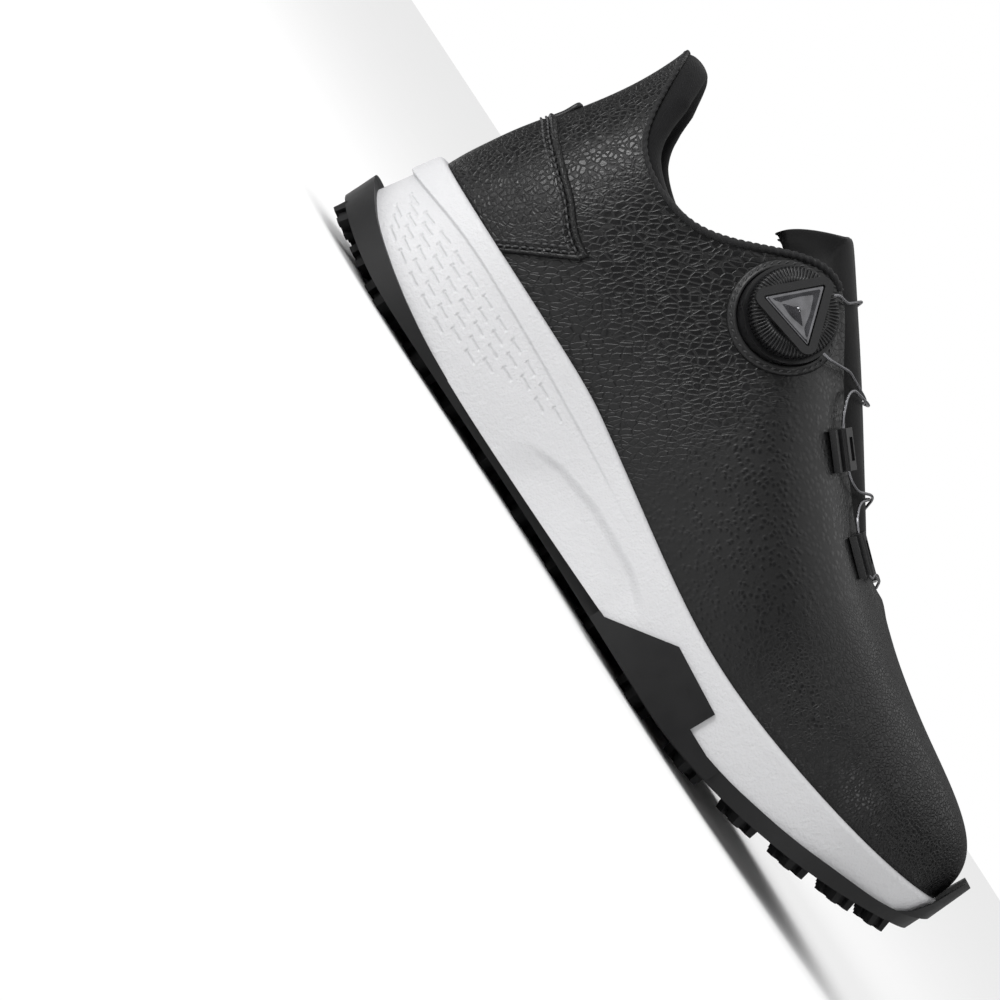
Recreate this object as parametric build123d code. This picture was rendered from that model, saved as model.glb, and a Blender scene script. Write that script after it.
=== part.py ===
"""A right-foot spikeless golf shoe with a rotary dial closure, in millimetres.

+X points to the toe, +Y to the medial side, -Y to the lateral side that carries the dial, +Z up.
The origin is under the middle of the shoe, at the level of the tread.
"""

import os

import numpy
from build123d import *

# Driving dimensions: the last and the bottom unit
LAST_LENGTH = 292.0  # heel to toe of the upper at the feather line
LAST_WIDTH = 101.5  # across the ball of the foot at the feather line
INSTEP_HEIGHT = 87.0  # collar's heel top above the feather line at the heel
TREAD_CLEARANCE = 4.0  # lug height, from the flat tread plane to the base sheet
HEEL_BEVEL = 6.0
TOE_SPRING = 29.0
MIDSOLE_LEDGE = 2.5  # the wall's top edge stands this far outside the upper
WING_THICKNESS = 1.3
BUMPER_THICKNESS = 2.0

# Layers of the upper
SKIN = 1.6
CORE = 1.8  # foam, counter or puff between the skin and the lining
COLLAR_PADDING = 8.5
LINING = 1.0
LAYER_GAP = 0.3
LINING_TURN = 0.972  # share of the rib at which the lining turns over the padding
OVERLAY = 1.3
STROBEL = 1.5
SOCKLINER = 5.0

# Tongue
TONGUE_RADIUS = 17.6  # inner surface, over the instep
TONGUE_THICKNESS = 8.5
TONGUE_SKIN = 0.8
TONGUE_WING = 2.0  # thickness under the quarters

# Dial, in its own frame: its origin on the quarter's surface, its axis outwards
DIAL_CENTRE = (-37.0, -30.6, 110.0)
DIAL_AXIS = (0.05, -0.92, 0.38)
FLANGE_RADIUS = 19.6
HOUSING_RADIUS = 16.4
HOUSING_TOP = 4.6
HOUSING_WALL = 2.6
HOUSING_FLOOR = 1.0
HOUSING_DEPTH = 3.2
POST_RADIUS = 3.0
SPOOL_RADIUS = 11.0
DRUM_RADIUS = 6.6
KNOB_RADIUS = 15.2
CAP_REACH = 18.4  # the cap triangle's sharp corners, before they are rounded
KNOB_RISE = 2.0  # travel of the pull that lets the lace go
RUN_GAP = 0.3
SHAFT_GAP = 0.05

# Lace and its guides
LACE_RADIUS = 0.5
GUIDE_LENGTH = 14.0
GUIDE_WIDTH = 11.6
GUIDE_HEIGHT = 3.6
GUIDE_BORE = 0.9
GUIDE_HEIGHT_SHARE = 0.885  # how far up the rib a guide sits

# Stations of the last, heel to toe, for the base size: place on the feather line (x, lateral y, medial y), place on the
# opening's edge (x, y, z), then the rib between them: how far it rises and swells from the feather line, and how far it
# drops and swells from the opening's edge. The last two are the midsole wall's flare and the outsole's rim.
STATIONS = [
    (-142.0, 0.0, 0.0, -131.0, 0.0, 131.0, 34.0, -1.0, 31.0, -3.0, 0.17, 11.2),
    (-138.0, -15.0, 16.0, -127.5, 13.0, 127.0, 30.0, 0.0, 27.0, -1.5, 0.17, 10.9),
    (-125.0, -26.5, 28.0, -119.0, 24.0, 113.0, 26.0, 1.5, 21.0, 1.0, 0.16, 10.6),
    (-105.0, -33.0, 34.0, -108.0, 30.5, 101.5, 22.0, 2.5, 17.0, 2.0, 0.15, 10.4),
    (-82.0, -35.0, 34.5, -92.0, 33.5, 98.5, 21.0, 2.5, 16.0, 1.5, 0.13, 7.6),
    (-58.0, -35.0, 32.0, -77.0, 32.5, 102.0, 24.0, 2.5, 18.0, 3.0, 0.12, 4.4),
    (-34.0, -36.0, 30.0, -64.0, 29.5, 112.0, 28.0, 3.0, 20.0, 6.0, 0.12, 1.4),
    (-10.0, -40.0, 32.0, -51.0, 24.0, 125.0, 32.0, 3.0, 20.0, 10.0, 0.13, 0.0),
    (14.0, -45.0, 37.5, -36.0, 17.5, 130.0, 34.0, 3.0, 17.0, 17.0, 0.16, 1.0),
    (38.0, -49.0, 44.5, -15.0, 15.5, 117.5, 33.0, 3.0, 13.0, 20.0, 0.18, 4.2),
    (62.0, -50.6, 50.0, 10.0, 13.5, 102.5, 31.0, 3.0, 10.0, 23.0, 0.18, 6.4),
    (87.0, -48.0, 50.55, 32.0, 10.5, 91.5, 29.0, 2.5, 8.0, 27.0, 0.17, 6.8),
    (112.0, -40.5, 46.0, 47.0, 7.0, 86.5, 29.0, 2.0, 11.0, 34.0, 0.13, 6.4),
    (135.0, -24.0, 32.0, 55.0, 3.6, 85.6, 31.0, 1.5, 17.0, 43.0, 0.08, 5.0),
    (148.6, 0.0, 0.0, 57.0, 0.0, 85.5, 33.0, 1.0, 20.0, 50.0, 0.05, 3.2),
]
BASE_LENGTH = 292.0
BASE_WIDTH = 101.5
BASE_INSTEP = 87.0

# Heights along the shoe (x, z)
FEATHER_LINE = [
    (-152.0, 44.0), (-108.0, 44.0), (-62.0, 43.6), (-40.0, 41.8), (-18.0, 38.4), (5.0, 34.8), (27.0, 32.0),
    (48.0, 30.9), (71.0, 32.0), (94.0, 34.7), (116.0, 38.2), (138.0, 43.0), (156.0, 49.0),
]
RIM_LINE = [
    (-158.0, 23.5), (-148.0, 20.0), (-138.0, 16.0), (-118.0, 11.4), (-95.0, 8.2), (-68.0, 6.9), (-28.0, 7.2),
    (12.0, 8.6), (45.0, 10.2), (71.0, 12.6), (87.0, 15.8), (105.0, 20.6), (123.0, 26.6), (138.0, 31.6),
    (149.0, 37.5), (158.0, 46.0),
]
WING_OUTLINE = [(10.0, 6.0), (12.6, 8.7), (33.7, 23.6), (58.0, 21.6), (57.7, 12.4), (74.0, 12.0), (74.0, 6.0)]
BUMPER_OUTLINE = [(142.0, 32.0), (147.0, 38.0), (149.0, 45.0), (149.6, 58.0), (160.0, 58.0), (160.0, 32.0)]
OVERLAY_OUTLINE = [(-160.0, 83.0), (-134.0, 82.6), (-128.0, 80.0), (-88.0, 67.6), (-88.6, 64.0), (-106.0, 43.0), (-160.0, 30.0)]
RIDGE_LINE = [(-50.0, 143.0), (-45.0, 141.0), (-30.0, 132.5), (-8.0, 119.8), (22.0, 101.6), (44.0, 88.0), (56.0, 80.6), (68.0, 74.4)]

# Lugs: place and size in plan, in the order heel to toe
CASTLE_LUGS = [
    (-112.2, 27.0, 13.4), (-90.6, 26.4, 12.0), (-72.4, 22.6, 11.5), (-51.5, 20.6, 11.5), (-30.4, 19.8, 11.5),
    (-9.7, 19.6, 11.5), (12.8, 19.8, 11.5), (-112.9, -26.4, 13.4), (-90.6, -28.6, 12.0), (-73.1, -24.4, 11.5),
    (-52.0, -24.0, 11.5), (-30.8, -24.0, 11.5), (-10.4, -24.2, 11.5), (12.8, -25.0, 11.5), (-128.1, 16.6, 12.0),
    (-128.1, -14.6, 12.0), (-139.2, 6.4, 9.6), (-139.2, -6.0, 9.6), (-144.0, 17.4, 9.0), (-143.6, -17.2, 9.0),
]
LUG_COLUMNS = [
    (39.0, 11.6, (40.0, 19.6, -0.9, -20.3, -41.2)), (65.5, 11.6, (43.0, 22.3, 0.5, -20.9, -43.0)),
    (89.5, 11.4, (43.2, 22.4, 2.5, -17.8, -39.6)), (110.0, 11.0, (38.6, 22.3, 4.8, -14.6, -34.0)),
    (127.6, 10.0, (30.6, 16.2, 0.8, -13.2, -27.4)), (140.6, 8.6, (19.6, 6.8, -6.6, -18.6)),
]
LARGE_FINS = [(-104.2, 2.6), (-83.1, 1.9), (-62.2, 1.9), (-40.6, 1.0), (-19.7, -0.8), (2.6, -1.5)]
SMALL_FINS = [(-122.9, 2.1), (-113.8, 13.0), (-96.7, 14.8), (-113.8, -9.2), (-96.7, -11.2)]
FLEX_GROOVES = [(26.0, 35.0, -26.0), (53.0, 45.0, -48.0), (77.5, 48.0, -48.0), (100.0, 46.0, -42.0), (119.5, 38.0, -34.0)]
LUG_ROOT = 1.0
LEVEL_SLOPE = 2.0  # degrees: a lug on a gentler slope stays level

# Guides: where each sits on the opening's edge, as a share of the way round the half shoe, and its side
GUIDE_PLACES = {
    "lateral_guide_1": (9.85, -1), "lateral_guide_2": (11.25, -1),
    "medial_guide_1": (8.75, 1), "medial_guide_2": (9.95, 1), "medial_guide_3": (11.45, 1),
}
HALF = len(STATIONS) - 1
SECTIONS = 29
RIB_POINTS = 8


def smooth(rows, closed=False):
    """Cubic spline through rows of numbers, one unit of its parameter from each row to the next."""
    rows = numpy.array(rows, float)
    count = len(rows)
    matrix, right = numpy.eye(count), numpy.zeros_like(rows)
    for i in range(count):
        if closed or 0 < i < count - 1:
            before, after = (i - 1) % count, (i + 1) % count
            matrix[i, i], matrix[i, before], matrix[i, after] = 4.0, 1.0, 1.0
            right[i] = 6.0 * (rows[before] - 2.0 * rows[i] + rows[after])
    bend = numpy.linalg.solve(matrix, right)

    def at(t):
        t = t % count if closed else min(max(t, 0.0), count - 1.0)
        i = min(int(t), count - 1 if closed else count - 2)
        s, j = t - i, (i + 1) % count
        r = 1.0 - s
        return r * rows[i] + s * rows[j] + ((r**3 - r) * bend[i] + (s**3 - s) * bend[j]) / 6.0

    return at


def height_over(points):
    """Height as a function of x along a smooth line of (x, z) points."""
    line = smooth(points)
    dense = numpy.array([line(t) for t in numpy.linspace(0, len(points) - 1, 40 * len(points))])
    return lambda x: float(numpy.interp(x, dense[:, 0], dense[:, 1]))


def ease(x, low, high):
    """0 before low, 1 after high, smooth between."""
    t = min(max((x - low) / (high - low), 0.0), 1.0)
    return t * t * (3.0 - 2.0 * t)


# Grading: the stations follow the driving dimensions
grade_x = LAST_LENGTH / BASE_LENGTH
grade_y = LAST_WIDTH / BASE_WIDTH
grade_z = INSTEP_HEIGHT / BASE_INSTEP
feather_base = height_over(FEATHER_LINE)
rim_base = height_over(RIM_LINE)
base_z = 44.0


def graded_z(z):
    """Height above the heel's feather line grades with the instep height."""
    return base_z + (z - base_z) * grade_z if z > base_z else z


def feather_z(x):
    return feather_base(x / grade_x)


def rim_z(x):
    return rim_base(x / grade_x)


def tread_z(x):
    """Underside of the outsole's base sheet: flat, with a heel bevel and a toe spring."""
    x = x / grade_x
    z = TREAD_CLEARANCE
    if x < -110.0:
        z += HEEL_BEVEL * ((-110.0 - x) / 43.0) ** 2
    if x > 44.0:
        z += TOE_SPRING * ((x - 44.0) / 108.0) ** 1.75
    return z


def station_rows():
    """Stations round the whole shoe: heel, lateral side, toe, medial side."""
    rows = []
    for side, order in ((-1, range(0, HALF + 1)), (1, range(HALF - 1, 0, -1))):
        for i in order:
            x, lateral, medial, ex, ey, ez, up, out, down, swell, flare, rim = STATIONS[i]
            y = (lateral if side < 0 else medial) * grade_y
            edge = (ex * grade_x, side * ey * grade_y, graded_z(ez))
            rows.append((x * grade_x, y, *edge, up, out, down * grade_z, swell * grade_x, flare, rim))
    return rows


around = smooth(station_rows(), closed=True)


def rib(t):
    """The four control points of the rib at station t, and the row of values there."""
    row = around(t)
    turn = around(t + 0.01)[:2] - around(t - 0.01)[:2]
    out = numpy.array([-turn[1], turn[0], 0.0]) * -1.0
    if t % HALF == 0.0:
        out[1] = 0.0
    out /= numpy.linalg.norm(out)
    up = numpy.array([0.0, 0.0, 1.0])
    foot = numpy.array([row[0], row[1], feather_z(row[0])])
    edge = row[2:5]
    return foot, foot + out * row[6] + up * row[5], edge + out * row[8] - up * row[7], edge, out, row


def skin_point(t, v):
    """Point on the upper's outer surface: v is 0 at the feather line and 1 at the opening's edge."""
    a, b, c, d, _, _ = rib(t)
    w = 1.0 - v
    return a * w**3 + 3.0 * b * w * w * v + 3.0 * c * w * v * v + d * v**3


def skin_normal(t, v):
    along = skin_point(t + 0.02, v) - skin_point(t - 0.02, v)
    up = skin_point(t, min(v + 0.01, 1.0)) - skin_point(t, max(v - 0.01, 0.0))
    normal = numpy.cross(along, up)
    if t % HALF == 0.0:
        normal[1] = 0.0
    return normal / numpy.linalg.norm(normal)


def collar_share(t):
    """1 round the heel and ankle, 0 from the front of the collar on."""
    t = t % (2 * HALF)
    t = min(t, 2 * HALF - t)
    return 1.0 - ease(t, 4.0, 6.6)


def core_depth(t, v):
    """Thickness between the skin and the lining."""
    return CORE + (COLLAR_PADDING - CORE) * collar_share(t) * ease(v, 0.5, 0.86)


def under_core(t, v):
    return SKIN + core_depth(t, v) + 2.0 * LAYER_GAP


def section(t, v0, v1, outer, inner):
    """Thin closed outline across one layer at station t."""
    steps = numpy.linspace(v0, v1, RIB_POINTS)
    shares = list(numpy.linspace(0.0, 1.0, RIB_POINTS))
    sides = []
    for depth in (outer, inner):
        points = [skin_point(t, v) - skin_normal(t, v) * depth(t, v) for v in steps]
        sides.append([Vector(*p) for p in points])
    edges = [
        Edge.make_spline(sides[0], parameters=shares),
        Edge.make_line(sides[0][-1], sides[1][-1]),
        Edge.make_spline(sides[1], parameters=shares),
        Edge.make_line(sides[1][0], sides[0][0]),
    ]
    return Wire(edges)


def lining_section(t):
    """Outline across the lining, which turns outwards over the padding at the opening's edge."""
    shares = list(numpy.linspace(0.0, 1.0, RIB_POINTS))

    def place(v, depth):
        return Vector(*(skin_point(t, v) - skin_normal(t, v) * depth))

    back = [place(v, under_core(t, v)) for v in numpy.linspace(0.01, LINING_TURN, RIB_POINTS)]
    front = [place(v, under_core(t, v) + LINING) for v in numpy.linspace(0.01, 1.0, RIB_POINTS)]
    lip, edge = place(LINING_TURN + 0.008, SKIN + LAYER_GAP), place(1.0, SKIN + LAYER_GAP)
    return Wire([
        Edge.make_spline(back, parameters=shares),
        Edge.make_line(back[-1], lip),
        Edge.make_line(lip, edge),
        Edge.make_line(edge, front[-1]),
        Edge.make_spline(front, parameters=shares),
        Edge.make_line(front[0], back[0]),
    ])


def layer(v0, v1, outer, inner):
    """Layer of the upper all round the shoe, between two depths under its outer surface."""
    halves = []
    for start in (0, HALF):
        stops = numpy.linspace(start, start + HALF, SECTIONS)
        halves.append(Solid.make_loft([section(t, v0, v1, outer, inner) for t in stops]))
    return halves[0] + halves[1]


def lining_ring():
    """Lining all round the shoe."""
    halves = []
    for start in (0, HALF):
        halves.append(Solid.make_loft([lining_section(t) for t in numpy.linspace(start, start + HALF, SECTIONS)]))
    return halves[0] + halves[1]


def flat(depth):
    return lambda t, v: depth


def block(x0, x1, y0=-90.0, y1=90.0, z0=-5.0, z1=190.0):
    """Box between two corners."""
    return Pos((x0 + x1) / 2, (y0 + y1) / 2, (z0 + z1) / 2) * Box(x1 - x0, y1 - y0, z1 - z0)


def side_prism(points, y0=-90.0, y1=90.0):
    """Prism across the shoe with a side-view outline of (x, z) points."""
    outline = Polyline(*[(x, y0, z) for x, z in points], close=True)
    return extrude(Face(Wire(outline.edges())), amount=y1 - y0, dir=(0, 1, 0))


def graded(points):
    return [(x * grade_x, graded_z(z)) for x, z in points]


def profile_solid(lower, upper, x0=-158.0, x1=158.0, count=33):
    """Prism across the shoe between two heights over x."""
    xs = numpy.linspace(x0 * grade_x, x1 * grade_x, count)
    low = [Vector(x, -90, lower(x)) for x in xs]
    high = [Vector(x, -90, upper(x)) for x in xs]
    edges = [
        Edge.make_spline(low),
        Edge.make_line(low[-1], high[-1]),
        Edge.make_spline(high),
        Edge.make_line(high[0], low[0]),
    ]
    return extrude(Face(Wire(edges)), amount=180, dir=(0, 1, 0))


def wall_outline(z, offset, rim=False):
    """Closed outline at height z of the midsole's wall, or of the outsole's rim."""
    points = []
    for t in numpy.arange(0, 2 * HALF, 0.5):
        foot, _, _, _, out, row = rib(t)
        reach = row[10] if rim else MIDSOLE_LEDGE + row[9] * (feather_z(row[0]) - z)
        p = foot + out * (reach + offset)
        points.append((p[0], p[1], z))
    return Wire(Edge.make_spline([Vector(*p) for p in points], periodic=True))


def envelope(offset, rim=False, top=64.0):
    return Solid.make_loft([wall_outline(-4.0, offset, rim), wall_outline(top, offset, rim)], ruled=True)


def castle_lug(size):
    """Lug with four corner blocks round a raised square, root up."""
    arm, corner, middle = size * 0.62, size * 0.34, size * 0.42
    height = TREAD_CLEARANCE + LUG_ROOT
    low = 0.8
    lug = Pos(0, 0, low) * extrude(Rectangle(arm, arm), amount=height - low)
    reach = size / 2 - corner / 2
    for sx in (-1, 1):
        for sy in (-1, 1):
            post = extrude(Plane((sx * reach, sy * reach, height), z_dir=(0, 0, -1)) * Rectangle(corner, corner),
                           amount=height, taper=4)
            lug += post
    lug += extrude(Rectangle(middle, middle), amount=height)
    lug -= Pos(0, 0, -0.01) * extrude(Rectangle(middle * 0.45, middle * 0.45), amount=0.6)
    return Rot(0, 0, 45) * lug


def fin_outline(length, share):
    """Rounded three-lobed outline, one lobe to the heel."""
    outline = []
    for k, reach in enumerate((0.52, 0.17, 0.5, 0.24, 0.5, 0.17)):
        angle = numpy.radians(180.0 + 60.0 * k)
        reach *= length * share
        outline.append((reach * numpy.cos(angle), reach * numpy.sin(angle)))
    face = Face(Wire(Polyline(*outline, close=True).edges()))
    return fillet(face.vertices(), length * share * 0.05)


def fin_lug(length):
    """Three-lobed lug, one lobe to the heel, root up."""
    step = TREAD_CLEARANCE * 0.35
    lug = Pos(0, 0, step) * extrude(fin_outline(length, 1.0), amount=TREAD_CLEARANCE + LUG_ROOT - step)
    return lug + extrude(fin_outline(length, 0.7), amount=TREAD_CLEARANCE)


def on_tread(x, y, piece):
    """Piece put under the base sheet, its foot one lug's height below and square to it."""
    slope = numpy.degrees(numpy.arctan2(tread_z(x + 1.0) - tread_z(x - 1.0), 2.0))
    slope = slope if abs(slope) > LEVEL_SLOPE else 0.0
    return Pos(x, y, tread_z(x)) * Rot(0, -slope, 0) * Pos(0, 0, -TREAD_CLEARANCE) * piece


def lugs():
    pieces = [on_tread(x * grade_x, y * grade_y, castle_lug(size)) for x, y, size in CASTLE_LUGS]
    for x, size, row in LUG_COLUMNS:
        pieces += [on_tread(x * grade_x, y * grade_y, castle_lug(size)) for y in row]
    pieces += [on_tread(x * grade_x, y * grade_y, fin_lug(20.0)) for x, y in LARGE_FINS]
    pieces += [on_tread(x * grade_x, y * grade_y, fin_lug(12.5)) for x, y in SMALL_FINS]
    return pieces


def make_outsole(wall):
    """Rubber cup: base sheet, side wings, toe bumper, flex grooves and lugs."""
    sheet = envelope(0.0, rim=True) & profile_solid(tread_z, rim_z)
    for x, y0, y1 in FLEX_GROOVES:
        x = x * grade_x
        groove = Pos(x, (y0 + y1) / 2 * grade_y, tread_z(x)) * Box(2.0, (y0 - y1) * grade_y, 1.0)
        sheet -= groove
    above_rim = profile_solid(rim_z, lambda x: 90.0)
    wing_root = envelope(WING_THICKNESS) & profile_solid(lambda x: tread_z(x) + 0.6, rim_z)
    sheet += wing_root & block(WING_OUTLINE[0][0] * grade_x, WING_OUTLINE[-1][0] * grade_x)
    wings = (envelope(WING_THICKNESS) - wall) & side_prism(graded(WING_OUTLINE)) & above_rim
    bumper = (envelope(BUMPER_THICKNESS) - wall) & side_prism(graded(BUMPER_OUTLINE)) & above_rim
    return sheet.fuse(wings, bumper, *lugs())


def make_midsole(wall):
    return wall & profile_solid(rim_z, feather_z)


def footbed_outline(z, inset):
    """Closed outline inside the lasted upper."""
    points = []
    for t in numpy.arange(0, 2 * HALF, 0.5):
        foot, _, _, _, out, _ = rib(t)
        p = foot - out * inset
        points.append(Vector(p[0], p[1], z))
    return Wire(Edge.make_spline(points, periodic=True))


def footbed(inset, low, high):
    """Board between two heights over the feather line."""
    bed = Solid.make_loft([footbed_outline(20.0, inset), footbed_outline(80.0, inset)], ruled=True)
    return bed & profile_solid(lambda x: feather_z(x) + low, lambda x: feather_z(x) + high)


ridge = smooth(RIDGE_LINE)
RIDGE_END = len(RIDGE_LINE) - 1


def ridge_frame(s):
    """Point of the tongue's ridge and the direction square to it, upwards."""
    here, ahead, behind = ridge(s), ridge(s + 0.02), ridge(s - 0.02)
    run = ahead - behind
    run /= numpy.linalg.norm(run)
    return numpy.array([here[0] * grade_x, 0.0, graded_z(here[1])]), numpy.array([-run[1], 0.0, run[0]])


def tongue_bulge(s, angle):
    """Thickness of the tongue at an angle from its ridge."""
    crown = TONGUE_THICKNESS * (1.0 - 0.84 * ease(s, 4.2, RIDGE_END - 0.2))
    narrow = ease(s, 3.4, 5.4)
    spread = 1.0 - ease(abs(angle), numpy.radians(9 - 5 * narrow), numpy.radians(27 - 14 * narrow))
    free = 1.0 - ease(s, 0.3, 1.5)
    share = max(spread, free)
    return TONGUE_WING * (1.0 - share) + crown * share if crown > TONGUE_WING else crown


def tongue_point(s, angle, depth):
    """Point under the tongue's outer surface. The base radius is the inner surface."""
    top, up = ridge_frame(s)
    crown = tongue_bulge(s, 0.0)
    centre = top - up * (TONGUE_RADIUS + crown)
    radius = TONGUE_RADIUS + tongue_bulge(s, angle) - depth
    return centre + (up * numpy.cos(angle) + numpy.array([0.0, 1.0, 0.0]) * numpy.sin(angle)) * radius


def tongue_layer(outer, inner, trim=0.0):
    """Layer of the tongue between two depths, given as functions of place."""
    wires = []
    for s in numpy.linspace(0.0, RIDGE_END, 25):
        half = numpy.radians(70.0 - 26.0 * ease(s, 1.0, RIDGE_END)) * (1.0 - trim)
        angles = numpy.linspace(-half, half, 17)
        sides = []
        for depth in (outer, inner):
            sides.append([Vector(*tongue_point(s, a, depth(s, a))) for a in angles])
        shares = list(numpy.linspace(0.0, 1.0, 17))
        wires.append(Wire([
            Edge.make_spline(sides[0], parameters=shares),
            Edge.make_line(sides[0][-1], sides[1][-1]),
            Edge.make_spline(sides[1], parameters=shares),
            Edge.make_line(sides[1][0], sides[0][0]),
        ]))
    return Solid.make_loft(wires)


def skin_of_tongue(s, angle):
    """Thickness of the tongue's cover and lining, thinner where the whole tongue is thin."""
    return TONGUE_SKIN * min(1.0, tongue_bulge(s, angle) / (3.2 * TONGUE_SKIN))


def gap_under(depth, gap):
    return lambda s, a: depth(s, a) + gap


def guide_plane(name):
    """Frame on a lace guide's foot: x along the opening's edge to the toe, z away from the skin."""
    place, side = GUIDE_PLACES[name]
    t = place if side < 0 else 2 * HALF - place
    v = GUIDE_HEIGHT_SHARE
    origin = skin_point(t, v)
    normal = skin_normal(t, v)
    step = 0.1 if side < 0 else -0.1
    run = skin_point(t + step, v) - skin_point(t - step, v)
    run -= normal * numpy.dot(run, normal)
    return Plane(origin=Vector(*(origin + normal * 0.4)), x_dir=Vector(*run), z_dir=Vector(*normal))


def guide_side(name):
    """Sign of the guide's y direction that points to the tongue."""
    return 1 if GUIDE_PLACES[name][1] < 0 else -1


def make_guide(name):
    """Moulded lace guide: foot plate, raised tunnel block, a window and a ridge."""
    toward = guide_side(name)
    foot = Pos(0, 0, 0.45) * Box(GUIDE_LENGTH, GUIDE_WIDTH, 0.9)
    body_width = GUIDE_WIDTH * 0.66
    middle = toward * (GUIDE_WIDTH - body_width) / 2
    body = Pos(0, middle, GUIDE_HEIGHT / 2) * Box(GUIDE_LENGTH, body_width, GUIDE_HEIGHT)
    body = fillet(body.edges().filter_by(Axis.X).group_by(Axis.Z)[-1], 1.0)
    bar = Pos(0, -toward * (GUIDE_WIDTH / 2 - 0.9), 1.1) * Box(GUIDE_LENGTH, 1.8, 2.2)
    ridge_bar = Pos(0, middle - toward * (body_width / 2 - 0.9), GUIDE_HEIGHT) * Box(GUIDE_LENGTH, 0.9, 0.9)
    guide = foot + body + bar + ridge_bar
    window = Pos(0, middle + toward * 0.9, GUIDE_HEIGHT) * Box(GUIDE_LENGTH * 0.56, 2.6, 1.6)
    guide -= window
    bore = Pos(0, middle, 1.7) * Rot(0, 90, 0) * Cylinder(GUIDE_BORE, GUIDE_LENGTH + 2)
    return guide_plane(name).location * (guide - bore)


def guide_exit(name, end, reach=2.4):
    """Point on the lace's line just outside a guide; end is -1 at the heel end and 1 at the toe end."""
    toward = guide_side(name)
    middle = toward * GUIDE_WIDTH * 0.17
    return guide_plane(name).from_local_coords(Vector(end * (GUIDE_LENGTH / 2 + reach), middle, 1.7))


def over_tongue(s, angle, lift):
    """Point above the tongue's outer surface."""
    return Vector(*tongue_point(s, numpy.radians(angle), -lift))


dial_plane = Plane(origin=DIAL_CENTRE, x_dir=(0.95, 0.14, 0.0), z_dir=DIAL_AXIS)


def disc(radius, low, high, hole=0.0):
    """Ring or disc on the dial's axis between two heights."""
    ring = Pos(0, 0, (low + high) / 2) * Cylinder(radius, high - low)
    if hole:
        ring -= Pos(0, 0, (low + high) / 2) * Cylinder(hole, high - low + 1)
    return ring


def on_dial(piece):
    return dial_plane.location * piece


def port(angle):
    """Cutter for a lace port through the housing's wall."""
    return Rot(0, 0, angle) * Pos(HOUSING_RADIUS, 0, 2.2) * Rot(0, 90, 0) * Cylinder(LACE_RADIUS + 0.4, 12)


PORT_ANGLES = (80.0, 8.0)
TOOTH_COUNT = 40
TEETH_LOW, TEETH_HIGH = 3.6, 5.8
CHAMBER_RADIUS = HOUSING_RADIUS - HOUSING_WALL


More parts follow.
